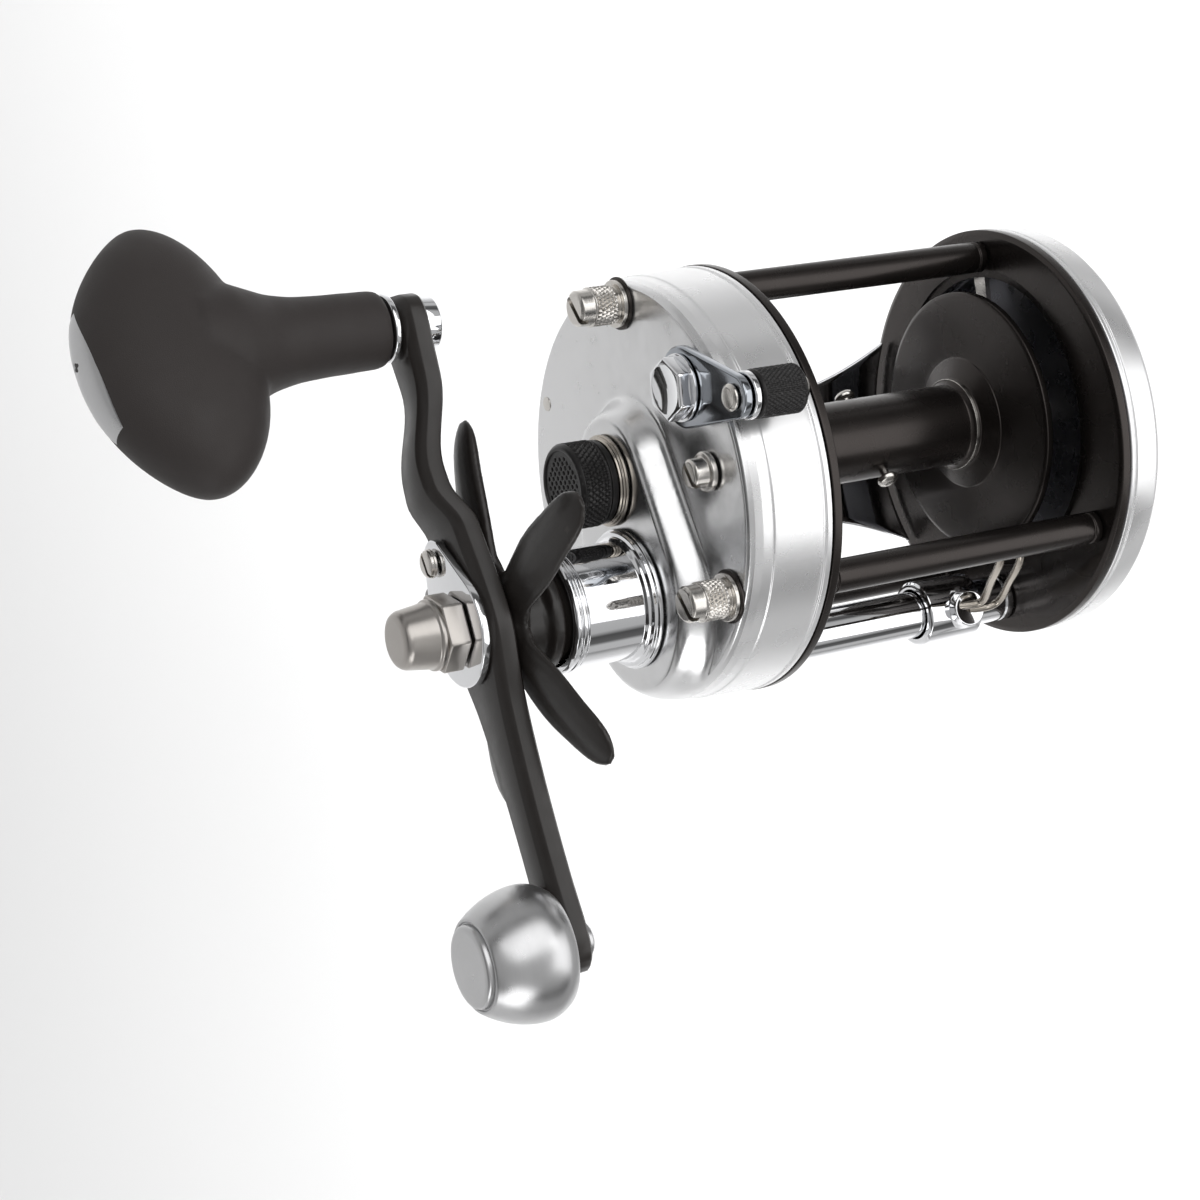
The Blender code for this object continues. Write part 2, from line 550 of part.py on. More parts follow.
def build_line_guide():
    inner = PLATE_X - GAP
    turned("guide_tube", ring(-inner, inner, 2.7, TUBE_R), WORM_AXIS, "polished_chrome",
           segments=24)
    tube = bpy.data.objects["guide_tube"]
    bm = bmesh.new()
    bmesh.ops.create_cube(bm, size=1.0)
    bmesh.ops.scale(bm, vec=(44.0, 2.6, 4.0), verts=bm.verts)
    slot = cutter("tube_slot", bm, (0, WORM_AXIS[0], WORM_AXIS[1] - 3.6))
    combine(tube, [slot], "DIFFERENCE")

    worm_r = 2.3
    worm = [(-26.8, 0), (-26.8, 1.5), (-24.6, 1.5), (-24.6, worm_r)]
    worm += [(-16.0 + i * 7.0 + x, worm_r - depth) for i in range(5)
             for x, depth in ((0, 0), (0.6, 0.7), (1.2, 0.7), (1.8, 0))]
    worm += [(24.6, worm_r), (24.6, 1.5), (28.8, 1.5), (28.8, 1.2), (32.2, 1.2), (32.2, 0)]
    turned("worm_shaft", worm, WORM_AXIS, "nickel_steel", "worm", segments=10)

    barrel_r = 5.2
    profile = [(-3.8, TUBE_R + GAP), (-3.8, barrel_r - 0.3), (-3.5, barrel_r),
               (6.4, barrel_r), (6.7, barrel_r - 0.3), (6.7, TUBE_R + GAP)]
    carriage = add_mesh("guide_carriage", lathe_bmesh(profile, 28), (GUIDE_X, *WORM_AXIS),
                        "polished_chrome", "guide")
    head = lathe_bmesh([(4.4, 0), (4.4, 2.9), (6.6, 2.9), (6.9, 2.6), (6.9, 0)], 24, "Z")
    combine(carriage, [cutter("carriage_head", head, (GUIDE_X, *WORM_AXIS))], "UNION")
    cuts = []
    for name, dx in WIRE_FEET.items():
        hole = lathe_bmesh([(5.4, 0), (5.4, 0.95), (8.0, 0.95), (8.0, 0)], 12, "Z")
        cuts.append(cutter("wire_hole_" + name, hole, (GUIDE_X + dx, *WORM_AXIS)))
    pawl_hole = lathe_bmesh([(-7.0, 0), (-7.0, 1.4), (-3.0, 1.4), (-3.0, 0)], 16, "Z")
    cuts.append(cutter("pawl_hole", pawl_hole, (GUIDE_X, *WORM_AXIS)))
    combine(carriage, cuts, "DIFFERENCE")

    pawl = lathe_bmesh([(-5.1, 0), (-5.1, 1.0), (-2.8, 1.0), (-2.6, 0.6), (-2.6, 0)], 14, "Z")
    add_mesh("guide_pawl", pawl, (GUIDE_X, *WORM_AXIS), "brass", "guide")
    cap = lathe_bmesh([(-6.6, 0), (-6.6, 1.9), (-6.2, 2.4), (-5.55, 2.4), (-5.55, 0)], 20, "Z")
    add_mesh("pawl_cap", cap, (GUIDE_X, *WORM_AXIS), "polished_chrome", "guide")
    build_guide_wires()


def build_guide_wires():
    """One stiff wire bent to a narrow hairpin: up out of the carriage, then back to the pillar."""
    points = [(WIRE_FEET["right"], 0, 5.9), (WIRE_FEET["right"], 0, 7.3), (0.5, -0.6, 8.5),
              (0.7, -1.8, 10.2), (1.6, -4.4, 14.0), (2.6, -6.4, 18.0), (3.3, -8.2, 20.8),
              (3.8, -12.0, 22.0), (0.2, -12.0, 22.0), (-0.6, -8.0, 20.8), (-1.5, -6.2, 18.0),
              (-2.4, -4.2, 14.0), (-3.2, -1.7, 10.2),
              (-2.9, -0.5, 8.4), (WIRE_FEET["left"], 0, 7.3), (WIRE_FEET["left"], 0, 5.9)]
    curve = bpy.data.curves.new("guide_wires", "CURVE")
    curve.dimensions = "3D"
    spline = curve.splines.new("POLY")
    spline.points.add(len(points) - 1)
    for point, place in zip(spline.points, points):
        point.co = (*(Vector(place) * MM), 1.0)
    curve.bevel_depth = WIRE_R * MM
    curve.bevel_resolution = 2
    curve.use_fill_caps = True
    add_object("guide_wires", curve, (GUIDE_X, *WORM_AXIS), "nickel_steel", "guide")


# ---------------------------------------------------------------- clutch lever

def build_clutch_lever():
    arm = (ROLLER_AXIS[0] - LEVER_AXIS[0], ROLLER_AXIS[1] - LEVER_AXIS[1])
    outline = two_circle_outline((0, 0), 6.0, arm, 3.2, 10)
    lever = slab("clutch_lever", outline, 42.6, 44.0, LEVER_AXIS, "polished_chrome", "lever", 0.3)
    stub = turned_cutter("lever_stub", [(38.4, 0), (38.4, 1.3), (43.2, 1.3), (43.2, 0)],
                         LEVER_AXIS, 16)
    combine(lever, [stub], "UNION")
    combine(lever, [round_cutter("lever_roller_hole", 40, 46, 1.5, ROLLER_AXIS, 16)],
            "DIFFERENCE")
    hexagon = circle_points((0, 0), 4.8, 6, 0.94)
    slab("lever_pivot_cap", hexagon, 44.3, 46.8, LEVER_AXIS, "polished_chrome", "lever", 0.5)
    turned("lever_roller", ring(33.5, 41.0, 1.5, 3.6, 0.4), ROLLER_AXIS, "black_enamel",
           "lever", segments=24)
    pin = [(32.3, 0), (32.3, 1.9), (33.2, 2.3), (33.2, 1.2), (41.3, 1.2), (41.3, 3.5),
           (42.3, 3.5), (42.3, 1.2), (44.3, 1.2), (44.3, 2.0), (44.9, 1.8), (45.1, 1.2),
           (45.1, 0)]
    turned("roller_pin", pin, ROLLER_AXIS, "nickel_steel", "lever", segments=18)


# ---------------------------------------------------------------- star and handle

def build_star():
    """Five broad arms around a hub that reaches into the gear sleeve."""
    hub = [(55.2, SHAFT_END_R + GAP), (55.2, 7.2), (61.0, 7.2), (61.5, 8.3), (62.8, 8.3),
           (63.6, 7.0), (68.6, 7.0), (69.1, 6.4), (69.1, SHAFT_END_R + GAP)]
    star = turned("star_drag", hub, HANDLE_AXIS, "black_enamel", "star", segments=28)
    arms = []
    for number, angle in enumerate(STAR_ANGLES):
        arms.append(cutter("star_arm_%d" % number, star_arm(radians(angle)),
                           (0, *HANDLE_AXIS)))
    combine(star, arms, "UNION")


def star_arm(angle):
    """One arm: a broad leaf that curves back from the hub to a rounded tip."""
    along = Vector((0, cos(angle), sin(angle)))
    across = Vector((0, -sin(angle), cos(angle)))
    stations = ((5.0, 4.6), (9.0, 4.1), (14.0, 4.0), (19.0, 4.3), (24.0, 4.1), (27.5, 3.4),
                (29.8, 2.4), (STAR_TIP_R, 1.0))
    sections = []
    for radius, half in stations:
        t = (radius - 5.0) / (STAR_TIP_R - 5.0)
        thick = 1.25 - 0.1 * t
        centre = along * radius + Vector((STAR_ROOT_X - 2.9 * t ** 2.2, 0, 0))
        corners = ((-0.55, -1), (0.55, -1), (1, -0.45), (1, 0.45),
                   (0.55, 1), (-0.55, 1), (-1, 0.45), (-1, -0.45))
        sections.append([tuple(centre + across * half * a + Vector((thick * b, 0, 0)))
                         for a, b in corners])
    return loft_bmesh(sections)


def arm_point(s):
    return (s * cos(ARM_TILT), s * sin(ARM_TILT))


def ease(t):
    return 0.5 - 0.5 * cos(pi * min(1.0, max(0.0, t)))


def arm_x(s):
    """Centre of the arm along X: flat at the hub, bowed out, then back in to the knob."""
    return ARM_X + ARM_BOW * ease((-s - 14.2) / 6.8) - ARM_DROP * ease((-s - 23.0) / 15.0)


def build_handle():
    sections = []
    stations = [(-51.5, 2.2), (-50.2, 4.6), (-47.0, 5.6), (-42.0, 5.0), (-38.0, 4.5),
                (-34.0, 4.2), (-30.0, 4.3), (-26.0, 4.6), (-23.0, 4.9), (-20.0, 5.3),
                (-17.0, 5.8), (-14.4, 6.2), (-7.0, 7.5), (0, 8.2), (7.0, 7.0), (14.0, 5.4),
                (26.0, 4.4), (38.0, 4.2), (46.0, 4.6), (50.5, 3.9), (52.4, 2.0)]
    across = Vector((0, -sin(ARM_TILT), cos(ARM_TILT)))
    for s, half in stations:
        y, z = arm_point(s)
        centre = Vector((arm_x(s), y, z))
        corners = ((-0.8, -1), (0.8, -1), (1, -0.55), (1, 0.55),
                   (0.8, 1), (-0.8, 1), (-1, 0.55), (-1, -0.55))
        sections.append([tuple(centre + across * half * a + Vector((ARM_T / 2 * b, 0, 0)))
                         for a, b in corners])
    arm = add_mesh("handle_arm", loft_bmesh(sections), (0, *HANDLE_AXIS), "black_enamel", "crank")
    combine(arm, [round_cutter("arm_shaft_hole", 66, 80, SHAFT_END_R + GAP, HANDLE_AXIS, 24),
                  round_cutter("arm_knob_hole", 64, 80, 2.3, KNOB_AXIS, 16),
                  round_cutter("arm_weight_hole", 64, 80, 1.9, WEIGHT_AXIS, 16)], "DIFFERENCE")

    retainer_x = (ARM_X + ARM_T / 2 + GAP, ARM_X + ARM_T / 2 + 1.6)
    screw_at = (HANDLE_AXIS[0] - 10.0, HANDLE_AXIS[1] - 4.4)
    to_screw = (screw_at[0] - HANDLE_AXIS[0], screw_at[1] - HANDLE_AXIS[1])
    plate = slab("nut_retainer", two_circle_outline((0, 0), 8.6, to_screw, 3.4, 14), *retainer_x,
                 HANDLE_AXIS, "polished_chrome", "crank", 0.2)
    combine(plate, [round_cutter("retainer_nut_hole", 70, 80, SHAFT_END_R + GAP, HANDLE_AXIS, 24),
                    round_cutter("retainer_screw_hole", 70, 80, 1.1, screw_at, 12)],
            "DIFFERENCE")
    head_x = retainer_x[1] + GAP
    screw = [(retainer_x[0] + 0.1, 0), (retainer_x[0] + 0.1, 0.8), (head_x, 0.8),
             (head_x, 2.2), (head_x + 1.0, 2.2), (head_x + 1.5, 1.6), (head_x + 1.5, 0)]
    screw_obj = turned("retainer_screw", screw, screw_at, "nickel_steel", "crank", segments=18)
    combine(screw_obj, [slot_cutter("retainer_slot", head_x + 1.5, 0.8, 6.0, 0.7, screw_at, 0.4)],
            "DIFFERENCE")

    nut = slab("handle_nut", circle_points((0, 0), 6.0, 6, 0.25), head_x, head_x + 3.6,
               HANDLE_AXIS, "nickel_steel", "crank", 0.4)
    dome = [(head_x + 3.2, 0), (head_x + 3.2, 4.9), (84.2, 4.3), (85.0, 3.5), (85.0, 0)]
    combine(nut, [turned_cutter("nut_dome", dome, HANDLE_AXIS, 28)], "UNION")
    combine(nut, [turned_cutter("nut_bore", rod(70.0, 78.4, SHAFT_END_R + GAP), HANDLE_AXIS, 24)],
            "DIFFERENCE")

    weight = [(67.8, 0), (67.8, 2.6), (69.2, 2.6), (69.2, 1.6), (73.7, 1.6), (73.7, 8.4),
              (74.6, 9.6), (77.5, 10.0), (81.5, 9.2), (85.0, 7.7), (86.2, 6.9), (86.5, 6.2),
              (87.2, 5.9), (87.2, 0)]
    turned("counterweight", weight, WEIGHT_AXIS, "polished_chrome", "crank", segments=28)

    spindle = [(65.0, 0), (65.0, 3.6), (65.5, 4.1), (67.9, 4.1), (67.9, 2.0), (72.6, 2.0),
               (72.6, 5.2),
               (73.6, 5.2), (73.6, 2.0), (96.6, 2.0), (96.6, 0)]
    turned("knob_spindle", spindle, KNOB_AXIS, "polished_chrome", "crank", segments=20)


def build_knob():
    """A T-shaped grip: a round stem that swells into one bar lying across the spindle."""
    stem = [(74.0, 2.4), (74.0, 5.9), (80.0, 5.8), (87.0, 6.2), (94.0, 7.6), (104.0, 8.6),
            (104.0, 0), (97.1, 0), (97.1, 2.4)]
    knob = turned("power_knob", stem, KNOB_AXIS, "soft_black", "knob", segments=20)
    combine(knob, [cutter("knob_bar", loft_bmesh(knob_bar_sections(12, 14)),
                          (0, *KNOB_AXIS))], "UNION")
    recess = [cap_ring(depth, 11.3 * f, 4.6 * f)
              for depth, f in ((0.9, 0.1), (0.9, 0.55), (0.9, 1.0), (-3.0, 1.0))]
    combine(knob, [cutter("knob_cap_recess", loft_bmesh(recess), (0, *KNOB_AXIS)),
                   round_cutter("knob_bore", 72.0, 97.1, 2.4, KNOB_AXIS, 20)], "DIFFERENCE")
    cap = [cap_ring(depth, 11.0 * f, 4.3 * f)
           for depth, f in ((0.6, 0.1), (0.6, 0.55), (0.6, 1.0), (0.3, 1.0), (0.15, 0.9),
                            (0.15, 0.5), (0.15, 0.1))]
    add_mesh("knob_end_cap", loft_bmesh(cap), (0, *KNOB_AXIS), "polished_chrome", "knob")


def knob_bar_size(t):
    """Outer height, inner height and half-width of the bar at a fraction t of its half length."""
    swell = (1 - abs(t) ** 3.0) ** 0.5
    reach = KNOB_HALF * t
    return ((14.5 - 0.018 * reach ** 2) * swell, (12.6 - 0.006 * reach ** 2) * swell, 9.2 * swell)


def knob_point(along, across, x):
    turn = Vector((0, cos(KNOB_TURN), sin(KNOB_TURN)))
    side = Vector((0, -sin(KNOB_TURN), cos(KNOB_TURN)))
    return tuple(turn * along + side * across + Vector((x, 0, 0)))


def knob_bar_sections(stations, around):
    """Cross-sections along the bar: convex outer face, rounded ends."""
    sections = []
    for i in range(stations + 1):
        t = sin(0.5 * pi * (2 * i / stations - 1) * 0.985)
        outer, inner, width = knob_bar_size(t)
        sections.append([knob_point(KNOB_SHIFT + KNOB_HALF * t, width * cos(a),
                                    KNOB_BAR_X + (outer if sin(a) > 0 else inner) * sin(a))
                         for a in (tau * k / around for k in range(around))])
    return sections


def cap_ring(depth, half_length, half_width, count=20):
    """An oval a little below the bar's outer face, long way along the bar."""
    ring_points = []
    for a in (tau * k / count for k in range(count)):
        along, across = CAP_SHIFT + half_length * cos(a), half_width * sin(a)
        outer, inner, width = knob_bar_size((along - KNOB_SHIFT) / KNOB_HALF)
        top = KNOB_BAR_X + outer * (1 - (across / width) ** 2) ** 0.5
        ring_points.append(knob_point(along, across, top - depth))
    return ring_points


# ---------------------------------------------------------------- clicker

def build_clicker():
    button = [(LEFT_DOME_X - 3.2, 0), (LEFT_DOME_X - 3.2, 2.6), (LEFT_DOME_X - 2.4, 3.1),
              (LEFT_DOME_X - 1.2, 3.1), (LEFT_DOME_X - 1.2, 1.2), (LEFT_DOME_X + 7.0, 1.2),
              (LEFT_DOME_X + 7.0, 0)]
    turned("clicker_button", button, CLICKER_AT, "nickel_steel", "clicker", segments=20)
    tongue = [(-14.5, -1.6), (1.0, -0.8), (1.0, 0.8), (-14.5, 1.6)]
    plate_back = -PLATE_X - PLATE_T - GAP
    slab("click_tongue", tongue, plate_back - 0.9, plate_back, CLICKER_AT, "nickel_steel")


def main():
    clear_scene()
    make_materials()
    make_empties()
    build_frame()
    build_foot()
    build_right_cover()
    build_left_cover()
    build_screws()
    build_right_works()
    build_crank()
    build_yoke()
    build_spool()
    build_line_guide()
    build_clutch_lever()
    build_star()
    build_handle()
    build_knob()
    build_clicker()


main()
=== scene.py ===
from math import atan2, cos, hypot, pi, radians, sin, tau

import bmesh
import bpy
import numpy as np
from mathutils import Matrix, Vector
from mathutils.bvhtree import BVHTree


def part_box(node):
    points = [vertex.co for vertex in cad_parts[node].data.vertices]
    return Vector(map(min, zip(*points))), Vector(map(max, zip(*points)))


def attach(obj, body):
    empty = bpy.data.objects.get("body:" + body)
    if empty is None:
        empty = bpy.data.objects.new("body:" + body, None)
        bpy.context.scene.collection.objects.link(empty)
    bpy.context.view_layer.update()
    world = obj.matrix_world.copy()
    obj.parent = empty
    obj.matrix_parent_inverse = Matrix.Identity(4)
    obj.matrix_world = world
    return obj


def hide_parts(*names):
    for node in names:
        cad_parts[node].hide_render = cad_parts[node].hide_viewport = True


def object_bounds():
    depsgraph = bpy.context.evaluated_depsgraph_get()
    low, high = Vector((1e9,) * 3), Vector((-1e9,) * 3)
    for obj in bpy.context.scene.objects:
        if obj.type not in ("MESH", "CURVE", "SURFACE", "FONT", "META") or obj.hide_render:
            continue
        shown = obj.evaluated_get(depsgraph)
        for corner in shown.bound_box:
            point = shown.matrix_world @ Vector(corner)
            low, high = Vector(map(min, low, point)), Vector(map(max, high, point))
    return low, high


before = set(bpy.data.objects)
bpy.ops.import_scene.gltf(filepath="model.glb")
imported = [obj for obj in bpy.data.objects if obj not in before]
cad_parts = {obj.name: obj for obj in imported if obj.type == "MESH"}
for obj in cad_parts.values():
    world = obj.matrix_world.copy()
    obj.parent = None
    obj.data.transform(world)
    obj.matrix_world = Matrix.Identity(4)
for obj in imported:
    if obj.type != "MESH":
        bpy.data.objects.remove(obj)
cad_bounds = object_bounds()

MM = 0.001
SHARP = 38.0                   # degrees; steeper edges stay sharp
BUMP_DEPTH = 0.0001            # m, for a bump of full strength


# ---------------------------------------------------------------- places, in mm, from the CAD

def box_mm(node):
    lo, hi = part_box(node)
    return np.array(lo) / MM, np.array(hi) / MM


def axis(node):
    """(y, z) of a turned node's axis, which lies along X."""
    lo, hi = box_mm(node)
    return (lo[1] + hi[1]) / 2, (lo[2] + hi[2]) / 2


def low_x(node):
    return box_mm(node)[0][0]


def high_x(node):
    return box_mm(node)[1][0]


PLATES = axis("frame_plate_right")
SPOOL = axis("spool_shaft")
HANDLE = axis("drive_shaft")
WORM = axis("worm_shaft")
LEVER = axis("lever_pivot_cap")
ROLLER = axis("lever_roller")
KNOB = axis("knob_spindle")
WEIGHT = axis("counterweight")
CARRIAGE_X = (low_x("pawl_cap") + high_x("pawl_cap")) / 2
PILLARS = {name: axis("pillar_" + name) for name in ("rear", "top", "front")}


# ---------------------------------------------------------------- materials

class Graph:
    """A material's nodes, with short calls that add and join them."""

    def __init__(self, name):
        self.material = bpy.data.materials.new(name)
        self.material.use_nodes = True
        self.tree = self.material.node_tree
        self.shader = self.tree.nodes["Principled BSDF"]
        coord = self.tree.nodes.new("ShaderNodeTexCoord").outputs["Object"]
        self.place = self.add("VectorMath", {0: coord, 3: 1 / MM}, operation="SCALE").outputs[0]

    def add(self, kind, inputs, **settings):
        made = self.tree.nodes.new("ShaderNode" + kind)
        for key, value in settings.items():
            setattr(made, key, value)
        for key, value in inputs.items():
            if isinstance(value, bpy.types.NodeSocket):
                self.tree.links.new(value, made.inputs[key])
            else:
                made.inputs[key].default_value = value
        return made

    def noise(self, vector, scale, detail=3.0):
        return self.add("TexNoise", {"Vector": vector, "Scale": scale, "Detail": detail}).outputs[0]

    def spread(self, value, low, high, from_low=0.3, from_high=0.7):
        return self.add("MapRange", {0: value, 1: from_low, 2: from_high, 3: low, 4: high}).outputs[0]

    def mix(self, factor, dark, light):
        made = self.add("Mix", {0: factor, 6: dark, 7: light}, data_type="RGBA")
        return made.outputs[2]

    def turned_place(self):
        """(along the axis, distance from the axis, 0): the same all the way round."""
        parts = self.add("SeparateXYZ", {0: self.place})
        flat = self.add("CombineXYZ", {1: parts.outputs[1], 2: parts.outputs[2]}).outputs[0]
        radius = self.add("VectorMath", {0: flat}, operation="LENGTH").outputs[1]
        return self.add("CombineXYZ", {0: parts.outputs[0], 1: radius}).outputs[0]

    def join(self, output, name):
        self.tree.links.new(output, self.shader.inputs[name])


def shade(colour, factor):
    """The colour made lighter or darker, with an alpha of 1."""
    return tuple(min(1.0, c * factor) for c in colour) + (1.0,)


def surface(name, colour, metallic, roughness, mottle=0.08, mottle_size=5.0, smudge=0.05,
            grain=0.15, grain_size=0.3, turned=False, anisotropic=0.0, edge=0.0, **sockets):
    """Mottled colour, smudged gloss and a fine bump; `turned` draws the bump as lathe rings."""
    g = Graph(name)
    g.shader.inputs["Metallic"].default_value = metallic
    for key, value in sockets.items():
        g.shader.inputs[key.replace("_", " ")].default_value = value
    tone = g.mix(g.noise(g.place, 1 / mottle_size), shade(colour, 1 - mottle),
                 shade(colour, 1 + mottle))
    fine_place = g.turned_place() if turned else g.place
    fine = g.noise(fine_place, 1 / grain_size, 4.0)
    if turned:
        tone = g.mix(g.spread(fine, 0.0, 0.35), tone, shade(colour, 1 - 3 * mottle))
    # edge paints a highlight onto sharp convex edges, lightening the colour up to four times there
    if edge:
        painted_edge_highlight = g.add("NewGeometry", {}).outputs["Pointiness"]
        tone = g.mix(g.spread(painted_edge_highlight, 0.0, edge, 0.51, 0.60), tone, shade(colour, 4.0))
    g.join(tone, "Base Color")
    smear = g.noise(g.place, 1.6 / mottle_size, 5.0)
    g.join(g.spread(smear, roughness - smudge, roughness + smudge), "Roughness")
    bump = g.add("Bump", {"Strength": grain, "Distance": BUMP_DEPTH, "Height": fine})
    g.join(bump.outputs[0], "Normal")
    if anisotropic:
        g.shader.inputs["Anisotropic"].default_value = anisotropic
        tangent = g.add("Tangent", {}, direction_type="RADIAL", axis="X")
        g.join(tangent.outputs[0], "Tangent")
    return g.material


def make_materials():
    return {
        "spun": surface("spun_aluminium", (0.74, 0.74, 0.745), 1.0, 0.23, mottle=0.006,
                        turned=True, grain=0.03, grain_size=0.35, anisotropic=0.75),
        "barrel": surface("barrel_aluminium", (0.87, 0.87, 0.875), 0.75, 0.28, mottle=0.01,
                          mottle_size=9.0, smudge=0.02, grain=0.0, anisotropic=0.3),
        "chrome": surface("polished_chrome", (0.84, 0.845, 0.86), 1.0, 0.06, mottle=0.015,
                          smudge=0.02, grain=0.004, grain_size=1.6),
        "dark_chrome": surface("dark_chrome", (0.36, 0.38, 0.41), 1.0, 0.10, mottle=0.03,
                               smudge=0.03, grain=0.01, grain_size=1.2),
        "satin": surface("satin_chrome", (0.56, 0.56, 0.565), 1.0, 0.30, mottle=0.02,
                         smudge=0.03, turned=True, grain=0.02, grain_size=0.4, anisotropic=0.3),
        "warm_grey": surface("warm_grey_steel", (0.46, 0.435, 0.41), 1.0, 0.33, mottle=0.03,
                             smudge=0.04, turned=True, grain=0.03, grain_size=0.4),
        "anodised": surface("black_anodised", (0.040, 0.034, 0.0315), 0.85, 0.27, mottle=0.04,
                            mottle_size=9.0, smudge=0.03, grain=0.0, anisotropic=0.75,
                            Coat_Weight=0.15, Coat_Roughness=0.2),
        # the well wall is the plate's black anodised, made lighter and bluish here to paint the
        # highlight strip along it
        "well": surface("anodised_well_painted_highlight", (0.15, 0.15, 0.165), 0.9, 0.28, mottle=0.02, smudge=0.02,
                        grain=0.0),
        # the enamel and the knurl get a painted highlight on their sharp edges through edge
        "enamel": surface("black_enamel", (0.018, 0.0152, 0.0138), 0.0, 0.36, mottle=0.15,
                          grain=0.10, grain_size=0.5, edge=0.25, Specular_IOR_Level=0.4,
                          Coat_Weight=0.12, Coat_Roughness=0.2),
        "knurl": surface("black_knurl", (0.016, 0.015, 0.015), 0.4, 0.36, mottle=0.2,
                         grain=0.1, edge=0.5),
        "rubber": surface("soft_black", (0.036, 0.0305, 0.029), 0.0, 0.60, mottle=0.08,
                          mottle_size=9.0, grain=0.30, grain_size=0.16,
                          Specular_IOR_Level=0.35),
        "nickel": surface("nickel_steel", (0.66, 0.635, 0.60), 1.0, 0.22, mottle=0.06,
                          smudge=0.06, turned=True, grain=0.12, grain_size=0.2),
        "champagne": surface("champagne_steel", (0.46, 0.42, 0.37), 1.0, 0.24, mottle=0.05,
                             grain=0.08),
        "brass": surface("brass", (0.78, 0.60, 0.30), 1.0, 0.26, mottle=0.08, turned=True,
                         grain=0.15),
        "fibre": surface("drag_fibre", (0.13, 0.11, 0.09), 0.0, 0.80, mottle=0.35,
                         mottle_size=0.7, grain=0.6, grain_size=0.15),
        "nylon": surface("white_nylon", (0.80, 0.79, 0.74), 0.0, 0.42, mottle=0.03,
                         grain=0.15, Subsurface_Weight=0.05),
    }


# ---------------------------------------------------------------- meshes

def add_mesh(name, vertices, faces, at, smooth=SHARP):
    """A mesh in mm around the point `at`, its normals outwards, with sharp edges kept."""
    bm = bmesh.new()
    made = [bm.verts.new(v) for v in (np.asarray(vertices) * MM).tolist()]
    for face in faces:
        bm.faces.new([made[i] for i in face])
    bmesh.ops.recalc_face_normals(bm, faces=bm.faces)
    mesh = bpy.data.meshes.new(name)
    bm.to_mesh(mesh)
    bm.free()
    obj = bpy.data.objects.new(name, mesh)
    obj.location = np.array(at) * MM
    bpy.context.scene.collection.objects.link(obj)
    soften(obj, smooth)
    return obj


def soften(obj, angle=SHARP):
    obj.data.shade_smooth()
    obj.data.set_sharp_from_angle(angle=radians(angle))


def fillet(points, soft, closed):
    """Replaces the corners of a path by short curves."""
    points = [np.array(p, float) for p in points]
    count = len(points)
    path = []
    for i, here in enumerate(points):
        if not closed and i in (0, count - 1):
            path.append(here)
            continue
        before = points[i - 1] - here
        after = points[(i + 1) % count] - here
        cut = min(soft, 0.45 * np.linalg.norm(before), 0.45 * np.linalg.norm(after))
        before, after = before / np.linalg.norm(before), after / np.linalg.norm(after)
        if before @ after < -0.985 or cut <= 0:
            path.append(here)
            continue
        start, end = here + before * cut, here + after * cut
        path += [(1 - t) ** 2 * start + 2 * t * (1 - t) * here + t * t * end
                 for t in (0.0, 0.3, 0.7, 1.0)]
    return path


def subdivide(path, step, closed):
    """Adds points so that no stretch of the path is longer than step."""
    fine = []
    ends = path[1:] + path[:1] if closed else path[1:]
    for start, end in zip(path, ends):
        parts = max(1, int(np.ceil(np.linalg.norm(end - start) / step)))
        fine += [start + (end - start) * k / parts for k in range(parts)]
    return fine if closed else fine + [path[-1]]


def lathe(name, profile, at, segments=96, soft=0.2, step=None, shape=None, along="X"):
    """Spins (along, radius) points about an axis through `at`. A path from axis to axis is solid,
    and any other path closes on itself. `shape` moves the finished vertices."""
    closed = profile[0][1] > 0
    path = fillet(profile, soft, closed)
    if step:
        path = subdivide(path, step, closed)
    turn = np.arange(segments) * tau / segments
    vertices, rings = [], []
    for distance, radius in path:
        start = len(vertices)
        if radius < 1e-6:
            vertices.append((distance, 0.0, 0.0))
            rings.append([start])
        else:
            vertices += list(zip([distance] * segments, radius * np.cos(turn), radius * np.sin(turn)))
            rings.append(list(range(start, start + segments)))
    faces = []
    for a, b in zip(rings, rings[1:] + (rings[:1] if closed else [])):
        for i in range(segments):
            j = (i + 1) % segments
            if len(a) == 1:
                faces.append((a[0], b[i], b[j]))
            elif len(b) == 1:
                faces.append((a[i], a[j], b[0]))
            else:
                faces.append((a[i], a[j], b[j], b[i]))
    vertices = np.array(vertices)
    if shape:
        vertices = shape(vertices)
    if along == "Z":
        vertices = vertices[:, [1, 2, 0]]
    return add_mesh(name, vertices, faces, at)


def loft(name, sections, at, smooth=SHARP):
    """Joins closed sections of equal point count and caps the two ends."""
    count = len(sections[0])
    vertices = [p for section in sections for p in section]
    faces = [tuple(range(count)), tuple(range(len(vertices) - count, len(vertices)))]
    for k in range(len(sections) - 1):
        for i in range(count):
            j = (i + 1) % count
            faces.append((k * count + i, k * count + j, (k + 1) * count + j, (k + 1) * count + i))
    return add_mesh(name, vertices, faces, at, smooth)


def sheet_faces(rows, columns):
    """The faces of two stacked grids of points, joined around their rims."""
    row, layer = columns + 1, (rows + 1) * (columns + 1)
    faces = []
    for i in range(rows):
        for j in range(columns):
            a = i * row + j
            quad = (a, a + 1, a + row + 1, a + row)
            faces += [quad, tuple(v + layer for v in quad)]
    rim = ([i * row for i in range(rows)] + [rows * row + j for j in range(columns)]
           + [i * row + columns for i in range(rows, 0, -1)] + [j for j in range(columns, 0, -1)])
    for a, b in zip(rim, rim[1:] + rim[:1]):
        faces.append((a, b, b + layer, a + layer))
    return faces


